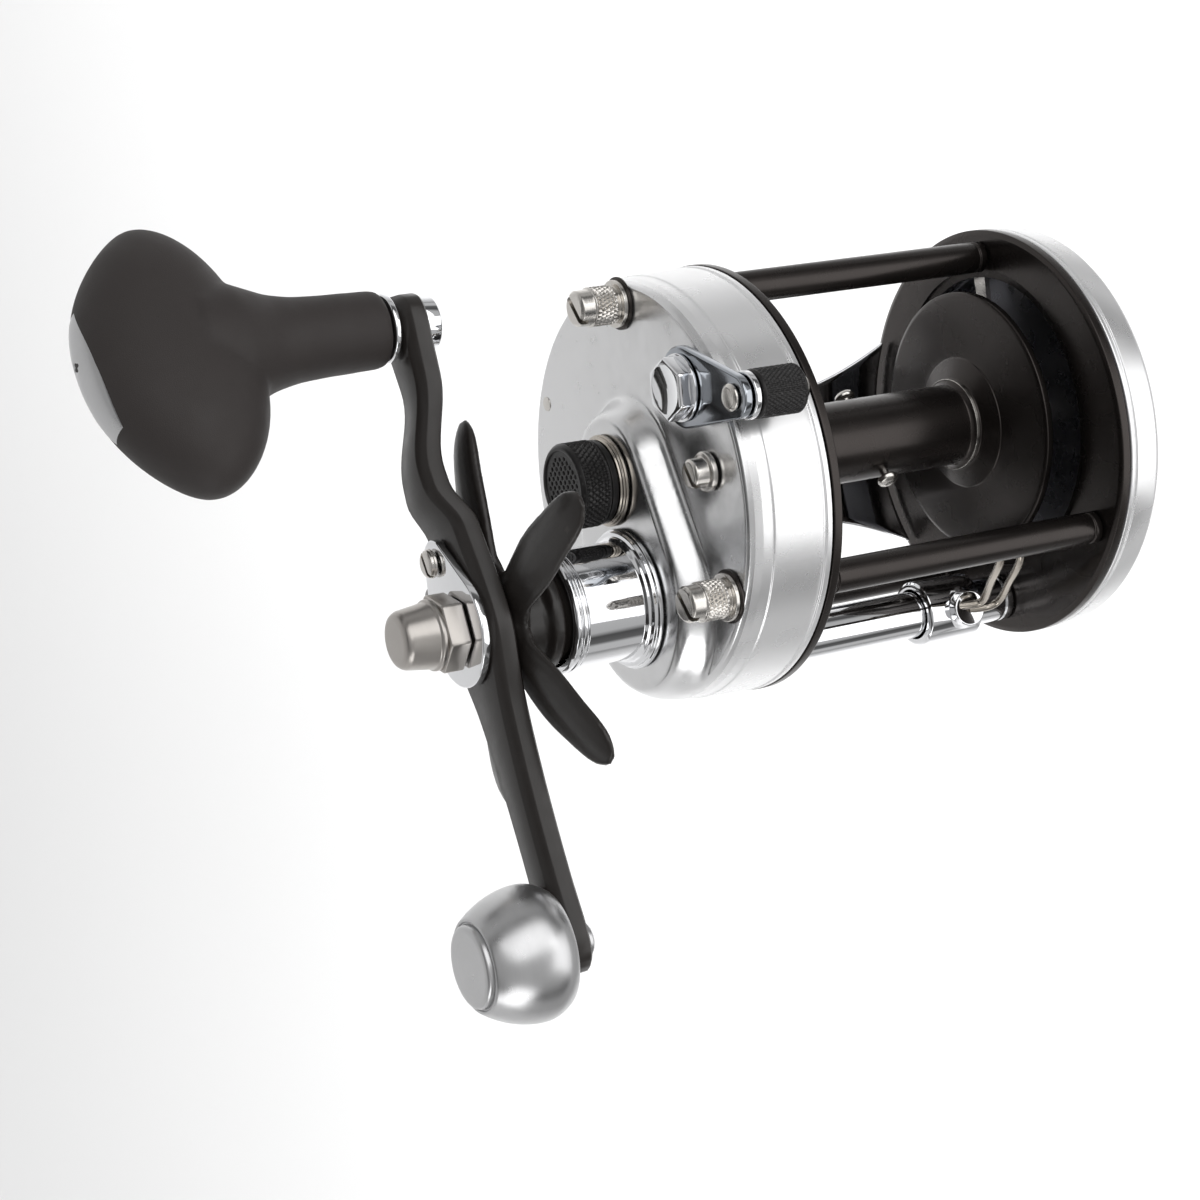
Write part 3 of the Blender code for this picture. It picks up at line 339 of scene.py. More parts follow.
def slab(name, outline, x0, x1, at, bevel=0.3):
    """A (y, z) outline extruded along X, its edges rounded."""
    outline = np.array(outline, float)
    before = outline - np.roll(outline, 1, axis=0)
    after = np.roll(outline, -1, axis=0) - outline
    before /= np.linalg.norm(before, axis=1)[:, None]
    after /= np.linalg.norm(after, axis=1)[:, None]
    inward = before + after
    inward = np.stack((-inward[:, 1], inward[:, 0]), axis=1)
    inward /= np.linalg.norm(inward, axis=1)[:, None]
    steps = [(1 - cos(a), 1 - sin(a)) for a in (0.0, pi / 8, pi / 4, 3 * pi / 8, pi / 2)]
    levels = [(x0 + u * bevel, v * bevel) for u, v in steps]
    levels += [(x1 - u * bevel, v * bevel) for u, v in reversed(steps)]
    sections = []
    for x, inset in levels:
        flat = outline + inward * inset
        sections.append(np.column_stack((np.full(len(flat), x), flat)))
    return loft(name, sections, at)


def arc(centre, radius, start, sweep, count):
    return [(centre[0] + radius * cos(start + sweep * k / (count - 1)),
             centre[1] + radius * sin(start + sweep * k / (count - 1))) for k in range(count)]


def belt(a, ra, b, rb, count=40):
    """The outline around two circles, anticlockwise."""
    way = atan2(b[1] - a[1], b[0] - a[0])
    spread = np.arccos((ra - rb) / hypot(b[0] - a[0], b[1] - a[1]))
    return (arc(a, ra, way + spread, tau - 2 * spread, count)
            + arc(b, rb, way - spread, 2 * spread, count))


def polygon(sides, radius, turn, corner=0.5):
    """A regular polygon with rounded corners."""
    points = [(radius * cos(turn + tau * k / sides), radius * sin(turn + tau * k / sides))
              for k in range(sides)]
    return [tuple(p) for p in fillet(points, corner, True)]


def apply_modifiers(obj):
    evaluated = obj.evaluated_get(bpy.context.evaluated_depsgraph_get())
    mesh = bpy.data.meshes.new_from_object(evaluated)
    obj.modifiers.clear()
    obj.data = mesh


def carve(obj, tools, operation="DIFFERENCE", smooth=SHARP):
    """Cuts the tools out of obj, or joins them to it, and removes them."""
    for tool in tools:
        modifier = obj.modifiers.new("carve", "BOOLEAN")
        modifier.operation = operation
        modifier.object = tool
        modifier.solver = "EXACT"
    apply_modifiers(obj)
    for tool in tools:
        bpy.data.objects.remove(tool, do_unlink=True)
    soften(obj, smooth)


def melt(obj, voxel, passes):
    """Fuses overlapping shapes in one mesh into a smooth skin."""
    remesh = obj.modifiers.new("melt", "REMESH")
    remesh.mode = "VOXEL"
    remesh.voxel_size = voxel * MM
    smooth = obj.modifiers.new("smooth", "SMOOTH")
    smooth.factor = 0.5
    smooth.iterations = passes
    apply_modifiers(obj)
    obj.data.shade_smooth()


def merge(obj, others):
    """Adds the others' faces to obj's mesh and removes the others."""
    bm = bmesh.new()
    bm.from_mesh(obj.data)
    inverse = Matrix.Translation(-obj.location)
    for other in others:
        mesh = other.data.copy()
        mesh.transform(inverse @ Matrix.Translation(other.location))
        bm.from_mesh(mesh)
        bpy.data.objects.remove(other, do_unlink=True)
    bm.to_mesh(obj.data)
    bm.free()


def piece(obj, body, slot, material, *nodes):
    """Gives a finished mesh its material and body, and hides the nodes it stands for; slot is not used.
    """
    obj.data.materials.clear()
    obj.data.materials.append(MATERIALS[material])
    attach(obj, body)
    if nodes:
        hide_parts(*nodes)
    return obj


def slot_tool(x, at, length, width, depth, turn):
    """A bar that cuts a screwdriver slot into a face at x."""
    outline = [(-length, -width / 2), (length, -width / 2), (length, width / 2), (-length, width / 2)]
    turned = [(y * cos(turn) - z * sin(turn), y * sin(turn) + z * cos(turn)) for y, z in outline]
    return slab("slot_tool", turned, -depth, depth, (x, *at), 0.02)


def diamonds(around, pitch, depth, x0, x1, radius):
    """A shape for lathe(): crossed helical grooves between x0 and x1 on the given radius."""
    def shape(v):
        r = np.hypot(v[:, 1], v[:, 2])
        turn = np.arctan2(v[:, 2], v[:, 1]) * around / tau
        along = (v[:, 0] - x0) / pitch
        ridge = [np.abs(2 * ((turn + sign * along) % 1.0) - 1) for sign in (1, -1)]
        fade = np.clip(np.minimum(v[:, 0] - x0, x1 - v[:, 0]) / 0.25, 0, 1)
        fade *= np.clip((r - radius + 0.05) / 0.04, 0, 1)
        drop = depth * fade * np.maximum(ridge[0] ** 2, ridge[1] ** 2)
        out = v.copy()
        scale = (r - drop) / np.maximum(r, 1e-9)
        out[:, 1:] *= scale[:, None]
        return out
    return shape


MATERIALS = make_materials()


# ---------------------------------------------------------------- covers

COVER_X = low_x("right_cover")
FACE = 13.7                    # flat face, from the cover's rim
BULGE = 4.5                    # how far the gear housing stands above the face
BULGE_R = (11.6, 16.6)         # about the spool and the handle axis
BULGE_FLANK = (1.3, 4.3)       # where the rise starts outside the outline, and its width
CUP_R = 31.3                   # inside of the cup
FLOOR_X = 11.0                 # below the cup's floor, which rises whole
RISE_X = (8.0, 13.0)           # where the rise comes in along the barrel
BARREL_R = 31.6                # faces outside it are the barrel's


def housing_depth(y, z):
    """Distance inside the outline that wraps the spool and handle axes, negative outside."""
    a = np.array(SPOOL) - PLATES
    b = np.array(HANDLE) - PLATES
    length = hypot(*(b - a))
    way = (b - a) / length
    p = np.stack((np.abs((y - a[0]) * -way[1] + (z - a[1]) * way[0]),
                  (y - a[0]) * way[0] + (z - a[1]) * way[1]))
    slope = (BULGE_R[0] - BULGE_R[1]) / length
    flank = (1 - slope * slope) ** 0.5
    k = p[0] * -slope + p[1] * flank
    return -np.where(k < 0, np.hypot(p[0], p[1]) - BULGE_R[0],
                     np.where(k > flank * length, np.hypot(p[0], p[1] - length) - BULGE_R[1],
                              p[0] * flank + p[1] * slope - BULGE_R[0]))


def raise_housing(v):
    """Lifts the gear housing out of the cover's flat face, inside and outside alike."""
    inner = (v[:, 0] < FACE - 1.0) & (np.hypot(v[:, 1], v[:, 2]) < CUP_R)
    depth = housing_depth(v[:, 1], v[:, 2])
    start, width = BULGE_FLANK
    t = np.clip((depth + start) / width, 0, 1)
    height = BULGE * t ** 3 * (t * (6 * t - 15) + 10)
    reach = np.clip((v[:, 0] - RISE_X[0]) / (RISE_X[1] - RISE_X[0]), 0, 1)
    out = v.copy()
    out[:, 0] += height * np.where(inner & (v[:, 0] > FLOOR_X), 1.0, reach ** 2)
    return out


def build_covers():
    cup = [(FACE - 1.3, 0), (FACE - 1.3, 31.0), (FACE - 2.6, 31.4), (0, 31.4), (0, 32.9),
           (0.9, 32.9), (1.0, 32.6), (1.4, 32.6), (1.5, 32.8), (9.6, 32.55), (9.8, 32.35),
           (11.4, 32.25), (12.6, 31.95), (FACE - 0.4, 31.7), (FACE, 31.3), (FACE, 0)]
    cover = lathe("cover_right", cup, (COVER_X, *PLATES), 300, 0.12, 0.5, raise_housing)
    piece(cover, "frame", "satin_aluminium", "spun", "right_cover")
    cover.data.materials.append(MATERIALS["barrel"])
    for face in cover.data.polygons:
        centre = face.center / MM
        if hypot(centre[1], centre[2]) > BARREL_R and centre[0] < FACE - 1.2:
            face.material_index = 1
    boss = lathe("cap_boss", [(0, 0), (0, 5.2), (4.2, 5.2), (4.2, 0)],
                 (low_x("cap_ring") - 0.2, *SPOOL), 64)
    piece(boss, "frame", "satin_aluminium", "spun")
    pin = lathe("cover_pin", [(-0.6, 0), (-0.6, 1.15), (0.12, 1.15), (0.12, 0)],
                (COVER_X + FACE, PLATES[0] - 15.1, PLATES[1] - 24.7), 40, 0.08)
    piece(pin, "frame", "nickel_steel", "nickel")

    x = high_x("left_cover")
    shell = [(-9.4, 0), (-9.1, 8), (-9.0, 9.0), (-8.8, 9.2), (-8.5, 16), (-8.2, 22), (-7.6, 26.4),
             (-7.4, 26.7), (-7.2, 27.0), (-6.5, 31.3), (-5.9, 32.2), (-5.2, 32.7), (-1.2, 32.95),
             (-1.1, 32.7), (-0.8, 32.7), (-0.7, 33.0), (0, 33.0), (0, 31.8), (-5.0, 31.8),
             (-5.9, 29.6), (-6.8, 25), (-8.1, 0)]
    cover = lathe("cover_left", shell, (x, *PLATES), 240, 0.25)
    tools = [lathe("seat", [(-4, 0), (-4, 2.3), (0, 2.3), (0, 0)],
                   (high_x("left_screw_" + name) - 10.8, *at), 40)
             for name, at in PILLARS.items()]
    carve(cover, tools)
    piece(cover, "frame", "satin_aluminium", "barrel", "left_cover")
    for name, at in PILLARS.items():
        node = "left_screw_" + name
        screw = lathe(node + "_head", [(0, 0), (0, 1.6), (0.3, 1.9), (0.9, 1.9), (0.9, 0.6),
                                       (10, 0.6), (10, 0)], (low_x(node), *at), 40, 0.12)
        carve(screw, [slot_tool(low_x(node), at, 4.0, 0.55, 0.5, 0.7)])
        piece(screw, "frame", "nickel_steel", "nickel", node)
    button = lathe("clicker_cap", [(0, 0), (0.3, 1.4), (0, 1.7), (0, 2.5), (0.5, 3.0), (1.8, 3.1),
                                   (2.0, 2.9), (2.0, 1.2), (10.2, 1.2), (10.2, 0)],
                   (low_x("clicker_button"), *axis("clicker_button")), 64, 0.15)
    piece(button, "clicker", "nickel_steel", "nickel", "clicker_button")


# ---------------------------------------------------------------- frame

PLATE_R = 33.0
OPENING_R = (24.3, 22.9)       # the plate's opening, at its inner and its outer face


def build_frame():
    for side, back in (("right", 1), ("left", -1)):
        node = "frame_plate_" + side
        lo, hi = box_mm(node)
        inner, outer = (lo[0], hi[0]) if back > 0 else (hi[0], lo[0])
        thick = abs(outer - inner) * back
        plate = lathe("plate_" + side, [(0, 0), (0, PLATE_R - 0.8), (0.25 * back, PLATE_R),
                                        (thick, PLATE_R), (thick, 0)],
                      (inner, *PLATES), 240, 0.15, 4.0)
        opening = lathe("opening", [(-back, 0), (-back, OPENING_R[0]), (0.45 * back, OPENING_R[0]),
                                    (0.45 * back, OPENING_R[1]), (thick + back, OPENING_R[1]),
                                    (thick + back, 0)], (inner, *SPOOL), 200, 0.05)
        hole = lathe("hole", [(-back, 0), (-back, 2.2), (thick + back, 2.2), (thick + back, 0)],
                     (inner, *WORM), 32)
        carve(plate, [opening, hole])
        piece(plate, "frame", "black_anodised", "anodised", node)
    x = low_x("frame_plate_left")
    well = lathe("left_well", [(-0.3, 24.6), (-0.3, 23.4), (-0.5, 23.2), (-3.2, 24.2), (-3.5, 23.8),
                               (-3.7, 6.4), (-4.0, 6.4), (-4.0, 24.6)], (x, *SPOOL), 200, 0.1)
    # the well wall takes the lighter, bluish copy of the anodised, which paints its highlight
    piece(well, "frame", "black_anodised", "well")
    for name, at in PILLARS.items():
        lo, hi = box_mm("pillar_" + name)
        reach = (hi[0] - lo[0]) / 2 - 1.95
        half = [(reach - 1.6, 2.5), (reach - 1.5, 2.3), (reach - 1.2, 2.3), (reach - 1.1, 2.5),
                (reach, 2.5), (reach, 1.5), (reach + 1.7, 1.5), (reach + 1.7, 0)]
        profile = [(-x, r) for x, r in reversed(half)] + half
        rod = lathe("post_" + name, profile, (0, *at), 64, 0.1)
        piece(rod, "frame", "black_anodised", "anodised", "pillar_" + name)


SADDLE_R = (31.6, 29.8)        # outside and inside of the curved saddle
SADDLE_DROP = 0.9              # saddle's centre below the plates' axis
SADDLE_HALF = 24.9             # along X
WAIST_HALF = 10.6              # along Y, at the narrow middle
WAIST_GROWTH = 6.2             # added to it at the ends
TONGUE_R = 8.5
TONGUE_REACH = 34.0
RIVET_Y = 13.2                 # either side of the saddle's middle


def build_foot():
    low = box_mm("reel_foot")[0][2]
    nx, ny = 60, 22
    vertices = []
    for radius in SADDLE_R:
        for i in range(nx + 1):
            x = SADDLE_HALF * (2 * i / nx - 1)
            half = WAIST_HALF + WAIST_GROWTH * (abs(x) / 24.0) ** 2.2
            for j in range(ny + 1):
                y = half * (2 * j / ny - 1)
                vertices.append((x, y, PLATES[1] - SADDLE_DROP - (radius ** 2 - y ** 2) ** 0.5 - low))
    foot = add_mesh("foot_saddle", vertices, sheet_faces(nx, ny), (0, 0, low))
    bevel = foot.modifiers.new("edge", "BEVEL")
    bevel.width = 0.5 * MM
    bevel.segments = 3
    bevel.limit_method = "ANGLE"
    bevel.angle_limit = radians(50)
    apply_modifiers(foot)
    sole = belt((0, -TONGUE_REACH + TONGUE_R), TONGUE_R, (0, TONGUE_REACH - TONGUE_R), TONGUE_R)

    def layer_at(z, inset):
        return [(x * (1 - inset / TONGUE_R), y * (1 - inset / TONGUE_REACH), z) for x, y in sole]
    base = loft("base", [layer_at(z, inset) for z, inset in
                         ((0, 0.5), (0.15, 0.2), (0.5, 0), (1.9, 0), (2.25, 0.2), (2.4, 0.5))],
                (0, 0, low))
    neck = loft("neck", [[(x * wide, y * 0.36, z) for x, y in sole]
                         for z, wide in ((1.5, 0.98), (3.0, 0.94), (7.8, 0.94))], (0, 0, low))
    carve(foot, [base, neck], "UNION", 45.0)
    piece(foot, "frame", "polished_chrome", "chrome", "reel_foot")
    for side in ("right", "left"):
        for end, sign in (("front", 1), ("rear", -1)):
            node = "foot_rivet_%s_%s" % (side, end)
            low, high = box_mm(node)
            centre = (low + high) / 2
            rivet = lathe(node + "_head", [(-0.5, 0), (-0.5, 1.5), (0, 1.42), (0.35, 1.0),
                                           (0.5, 0)], (0, 0, 0), 32, 0.2, along="Z")
            lean = atan2(sign * RIVET_Y, PLATES[1] - centre[2])
            rivet.data.transform(Matrix.Rotation(pi + lean, 4, "X"))
            rivet.location = centre * MM
            piece(rivet, "frame", "polished_chrome", "chrome", node)


# ---------------------------------------------------------------- screws, cap and sleeve

SCREW_GAP = 0.3                # between the cover's face and a screw's head


def build_screws():
    for name, at in PILLARS.items():
        node = "thumb_screw_" + name
        x = COVER_X + FACE + SCREW_GAP
        knurled = (1.7, 5.1)
        profile = [(-12, 0), (-12, 0.6), (0, 0.6), (0, 3.5), (0.25, 3.6), (0.9, 3.6), (0.9, 2.6),
                   (1.5, 2.6), (1.6, 3.0), (5.2, 3.0), (5.3, 2.75), (7.2, 2.7), (7.6, 2.3), (7.6, 0)]
        screw = lathe("knurled_screw_" + name, profile, (x, *at), 168, 0.1, 0.12,
                      diamonds(28, 1.35, 0.30, *knurled, 3.0))
        carve(screw, [slot_tool(x + 7.6, at, 4.0, 0.9, 1.3, 0.6)])
        piece(screw, "frame", "nickel_steel", "nickel", node)
        seat = lathe("screw_seat_" + name, [(-0.25, 2.9), (-0.25, 4.0), (0.1, 4.0), (0.1, 2.9)],
                     (x, *at), 64, 0.08)
        piece(seat, "frame", "black_anodised", "anodised")
    at = axis("cover_screw")
    x = COVER_X + FACE + SCREW_GAP
    screw = lathe("slotted_screw", [(-4, 0), (-4, 0.8), (0, 0.8), (0, 3.0), (0.7, 3.0), (0.9, 2.8),
                                    (1.0, 2.2), (2.9, 2.2), (3.3, 1.8), (3.3, 0)],
                  (x, *at), 72, 0.15)
    carve(screw, [slot_tool(x + 3.3, at, 4.0, 0.8, 1.0, 0.5)])
    piece(screw, "frame", "nickel_steel", "nickel", "cover_screw")


def build_cap():
    x = low_x("tension_cap")
    front = 6.1
    profile = [(0, 0), (0, 6.4), (0.9, 6.45), (1.0, 6.2), (1.2, 6.2), (1.3, 6.6), (5.5, 6.6),
               (5.9, 6.3), (front, 6.0), (front, 5.55), (5.55, 5.4), (5.55, 0)]
    cap = lathe("cap_knob", profile, (x, *SPOOL), 264, 0.1, 0.16,
                diamonds(44, 1.1, 0.34, 1.3, 5.5, 6.6))
    piece(cap, "cap", "black_anodised", "knurl", "tension_cap")

    radius, count, pitch, hole = 5.45, 150, 1.0, 0.27
    # a square grid drawn out to a disc, its points sunk wherever a hole of the screen is
    line = np.linspace(-1, 1, count + 1)
    u, v = np.meshgrid(line, line)
    y = radius * u * np.sqrt(1 - v * v / 2)
    z = radius * v * np.sqrt(1 - u * u / 2)
    p, q = (y + z) / (pitch * 2 ** 0.5), (y - z) / (pitch * 2 ** 0.5)
    to_hole = pitch * np.hypot(p - np.round(p), q - np.round(q))
    sunk = np.clip((hole + 0.08 - to_hole) / 0.12, 0, 1) * (np.hypot(y, z) < radius - 0.75)
    top = np.column_stack((5.85 - 0.6 * sunk.ravel(), y.ravel(), z.ravel()))
    bottom = top.copy()
    bottom[:, 0] = 5.0
    row, layer = count + 1, (count + 1) ** 2
    faces = []
    for i in range(count):
        for j in range(count):
            a = i * row + j
            faces.append((a, a + 1, a + row + 1, a + row))
    rim = ([j for j in range(count)] + [i * row + count for i in range(count)]
           + [count * row + j for j in range(count, 0, -1)] + [i * row for i in range(count, 0, -1)])
    vertices = np.vstack((top, bottom[rim]))
    for k, (a, b) in enumerate(zip(rim, rim[1:] + rim[:1])):
        faces.append((a, b, layer + (k + 1) % len(rim), layer + k))
    faces.append(tuple(range(layer, layer + len(rim))))
    screen = add_mesh("cap_screen", vertices, faces, (x, *SPOOL), 50.0)
    piece(screen, "cap", "black_anodised", "knurl")

    step = [(0, 5.5), (0, 7.0), (0.4, 7.0), (0.45, 6.75), (0.75, 6.75), (0.8, 6.5), (1.1, 6.4),
            (1.1, 5.5)]
    ring = lathe("stepped_ring", step, (low_x("cap_ring"), *SPOOL), 128, 0.06)
    piece(ring, "frame", "brass", "champagne", "cap_ring")

    sleeve = [(0, 8.15), (0, 10.7), (0.6, 10.7), (0.75, 10.35), (1.3, 10.25), (1.4, 9.6),
              (1.8, 9.45), (2.2, 9.0), (11.5, 9.0), (11.6, 8.75), (11.9, 8.75), (12.0, 9.3),
              (12.6, 9.3), (12.7, 9.05), (12.95, 9.05), (13.05, 9.3), (13.6, 9.3), (13.9, 9.0),
              (13.9, 8.15)]
    tube = lathe("shaft_sleeve", sleeve, (low_x("gear_sleeve"), *HANDLE), 192, 0.12)
    piece(tube, "frame", "polished_chrome", "chrome", "gear_sleeve")


# ---------------------------------------------------------------- clutch lever

def build_lever():
    cap_x = low_x("lever_pivot_cap")
    x0, x1 = cap_x - 1.7, cap_x - 0.3
    reach = (ROLLER[0] - LEVER[0], ROLLER[1] - LEVER[1])
    plate = slab("lever_plate", belt((0, 0), 6.0, reach, 3.2), x0, x1, (0, *LEVER), 0.35)
    stub = lathe("stub", [(-4.2, 0), (-4.2, 1.3), (0.5, 1.3), (0.5, 0)], (x0, *LEVER), 32)
    carve(plate, [stub], "UNION")
    piece(plate, "lever", "polished_chrome", "dark_chrome", "clutch_lever")

    washer = lathe("lever_washer", [(-0.1, 0), (-0.1, 5.0), (0.35, 5.0), (0.35, 0)],
                   (cap_x, *LEVER), 80, 0.1)
    hexagon = slab("lever_hex", polygon(6, 4.8, 0.94, 0.4), 0.3, 2.5, (cap_x, *LEVER), 0.45)
    dish = lathe("dish", [(1.7, 0), (2.45, 3.7), (3.0, 3.9), (3.2, 3.9), (3.2, 0)],
                 (cap_x, *LEVER), 64)
    carve(hexagon, [dish])
    piece(hexagon, "lever", "polished_chrome", "chrome", "lever_pivot_cap")
    piece(washer, "lever", "polished_chrome", "chrome")

    x = low_x("lever_roller")
    profile = [(0, 1.5), (0, 3.2), (0.25, 3.5), (0.4, 3.6), (7.1, 3.6), (7.4, 3.4), (7.5, 3.2),
               (7.5, 1.5)]
    roller = lathe("knurled_roller", profile, (x, *ROLLER), 240, 0.08, 0.14,
                   diamonds(36, 0.9, 0.20, 0.4, 7.1, 3.6))
    piece(roller, "lever", "black_enamel", "knurl", "lever_roller")
    x = low_x("roller_pin")
    collar = lathe("roller_collar", [(9.0, 1.1), (9.0, 3.3), (9.15, 3.5), (9.85, 3.5), (10.0, 3.3),
                                     (10.0, 1.1)], (x, *ROLLER), 96, 0.1)
    piece(collar, "lever", "polished_chrome", "chrome")
    pin = lathe("roller_rivet", [(0, 0), (0, 1.8), (0.9, 2.3), (0.9, 1.2), (11.95, 1.2),
                                 (11.95, 2.0), (12.3, 2.0), (12.7, 1.5), (12.8, 0)],
                (x, *ROLLER), 64, 0.15)
    piece(pin, "lever", "nickel_steel", "nickel", "roller_pin")


# ---------------------------------------------------------------- spool and line guide

def build_spool():
    half = [(17.4, 6.5), (17.8, 6.9), (18.0, 7.2), (18.8, 7.2), (19.0, 7.5), (20.0, 10.2),
            (20.1, 10.5), (20.3, 10.6), (21.1, 20.4), (21.3, 21.0), (22.4, 21.0), (22.4, 19.4),
            (21.9, 18.6), (21.4, 8.0), (23.9, 5.0), (23.9, 1.9)]
    profile = [(-x, r) for x, r in reversed(half)] + half
    spool = lathe("spool_turned", profile, (0, *SPOOL), 200, 0.15, 1.2)
    piece(spool, "spool_body", "black_anodised", "anodised", "spool")
    for side, sign in (("right", 1), ("left", -1)):
        band = lathe("arbor_ring_" + side, [(17.95 * sign, 7.15), (17.95 * sign, 7.35),
                                            (18.5 * sign, 7.35), (18.5 * sign, 7.15)],
                     (0, *SPOOL), 128, 0.05)
        piece(band, "spool_body", "nickel_steel", "nickel")
    for name in ("a", "b"):
        lo, hi = box_mm("line_pin_" + name)
        centre = (lo + hi) / 2
        out = np.array([0, centre[1] - SPOOL[0], centre[2] - SPOOL[1]])
        way = atan2(out[2], out[1])
        pin = lathe("pin_" + name, [(6.2, 0), (6.2, 0.7), (7.6, 0.7), (7.7, 1.5), (8.1, 1.7),
                                    (8.6, 1.5), (8.95, 0.8), (9.0, 0)], (0, 0, 0), 40, 0.12)
        pin.data.transform(Matrix.Rotation(pi / 2, 4, "Z"))
        pin.data.transform(Matrix.Rotation(way, 4, "X"))
        pin.location = Vector((centre[0], *SPOOL)) * MM
        piece(pin, "spool_body", "nickel_steel", "nickel", "line_pin_" + name)


def build_guide():
    end = high_x("guide_tube")
    half = [(end - 1.6, 3.75), (end - 1.5, 3.55), (end - 1.3, 3.55), (end - 1.2, 3.75),
            (end, 3.75), (end, 2.7)]
    profile = [(-x, r) for x, r in reversed(half)] + half
    tube = lathe("guide_rail", profile, (0, *WORM), 96, 0.1)
    groove = slab("groove", [(-1.3, -6), (1.3, -6), (1.3, -1.6), (-1.3, -1.6)], -22, 22, (0, *WORM),
                  0.05)
    carve(tube, [groove])
    piece(tube, "frame", "polished_chrome", "chrome", "guide_tube")

    barrel = [(-3.8, 4.05), (-3.8, 4.9), (-3.5, 5.2), (6.2, 5.2), (6.6, 4.8), (6.6, 4.05)]
    carriage = lathe("carriage", barrel, (CARRIAGE_X, *WORM), 128, 0.12)
    head = lathe("head", [(2.0, 0), (2.0, 4.2), (4.6, 3.2), (5.2, 2.9), (6.7, 2.9), (6.85, 2.7),
                          (6.2, 0.3), (6.2, 0)], (CARRIAGE_X, *WORM), 96, 0.12, along="Z")
    carve(carriage, [head], "UNION")
    piece(carriage, "guide", "polished_chrome", "chrome", "guide_carriage")
    cap = lathe("pawl_nut", [(-6.6, 0), (-6.6, 1.8), (-6.2, 2.4), (-5.55, 2.4), (-5.55, 0)],
                (CARRIAGE_X, *WORM), 48, 0.15, along="Z")
    piece(cap, "guide", "polished_chrome", "chrome", "pawl_cap")

    points = [(1.9, -0.6, 5.9), (0.4, -0.5, 6.9), (-1.0, -0.5, 7.4), (-1.7, -0.9, 8.2),
              (-1.2, -2.0, 10.0), (0.5, -4.4, 14.0), (1.9, -6.4, 18.0), (2.9, -8.2, 20.8),
              (3.6, -12.0, 22.0), (1.6, -12.6, 22.1), (-0.4, -12.0, 22.0), (-1.0, -8.0, 20.8),
              (-1.9, -5.9, 18.0), (-3.1, -3.9, 14.0), (-4.7, -1.6, 10.0), (-4.9, -0.3, 8.0),
              (-3.9, 0.3, 7.2), (-2.2, 0.4, 6.9), (-0.4, 0.3, 6.0)]
    curve = bpy.data.curves.new("hairpin", "CURVE")
    curve.dimensions = "3D"
    spline = curve.splines.new("NURBS")
    spline.points.add(len(points) - 1)
    for point, place in zip(spline.points, points):
        point.co = (*(Vector(place) * MM), 1.0)
    spline.use_endpoint_u = True
    spline.order_u = 3
    spline.resolution_u = 8
    curve.bevel_depth = 0.65 * MM
    curve.bevel_resolution = 6
    curve.use_fill_caps = True
    bent = bpy.data.objects.new("hairpin", curve)
    bpy.context.scene.collection.objects.link(bent)
    mesh = bpy.data.meshes.new_from_object(bent.evaluated_get(
        bpy.context.evaluated_depsgraph_get()))
    bpy.data.objects.remove(bent)
    wires = bpy.data.objects.new("hairpin_wire", mesh)
    wires.location = Vector((CARRIAGE_X, *WORM)) * MM
    bpy.context.scene.collection.objects.link(wires)
    soften(wires)
    piece(wires, "guide", "nickel_steel", "champagne", "guide_wires")


# ---------------------------------------------------------------- star and handle

STAR_ANGLES = (195.5, 123.5, 50.5, -21.5, -93.5)
STAR_ROOT, STAR_TIP = 5.0, 31.0    # radii of an arm
STAR_X = 68.0                  # an arm's root along X
STAR_LEAN = 2.9                # how far its tip leans back to the reel
ARM_TURN = atan2(WEIGHT[1] - HANDLE[1], WEIGHT[0] - HANDLE[0])
ARM_X = low_x("knob_spindle") + 6.5
ARM_T = 3.8
ARM_BENDS = ((2.3, 14.2, 6.8), (-3.7, 23.0, 15.0))   # step along X, start towards the knob, length


def star_blade(angle):
    """One broad arm that leans back from the hub, ridged between its face and its flank."""
    along = np.array([0, cos(angle), sin(angle)])
    across = np.array([0, -sin(angle), cos(angle)])
    section = [(-1.0, -0.35), (-0.82, -0.8), (-0.3, -1.0), (0.3, -1.0), (0.82, -0.8),
               (1.0, -0.35), (0.98, 0.1), (0.72, 0.62), (0.30, 0.98), (0.0, 1.04),
               (-0.45, 0.82), (-0.85, 0.5), (-1.0, 0.1)]
    sections = []
    stations = 26
    for i in range(stations + 1):
        t = i / stations
        radius = STAR_ROOT + (STAR_TIP - STAR_ROOT) * t
        end = max(0.0, (t - 0.72) / 0.28)
        close = max(0.08, 1 - end ** 2.4) ** 0.5
        half = (4.2 + 0.35 * sin((radius - 12.0) / 3.0)) * close
        thick = (1.35 - 0.15 * t) * close
        centre = along * radius + np.array([STAR_X - STAR_LEAN * t ** 2.2, 0, 0])
        sections.append([tuple(centre + across * half * a + np.array([thick * b, 0, 0]))
                         for a, b in section])
    return loft("blade", sections, (0, *HANDLE))


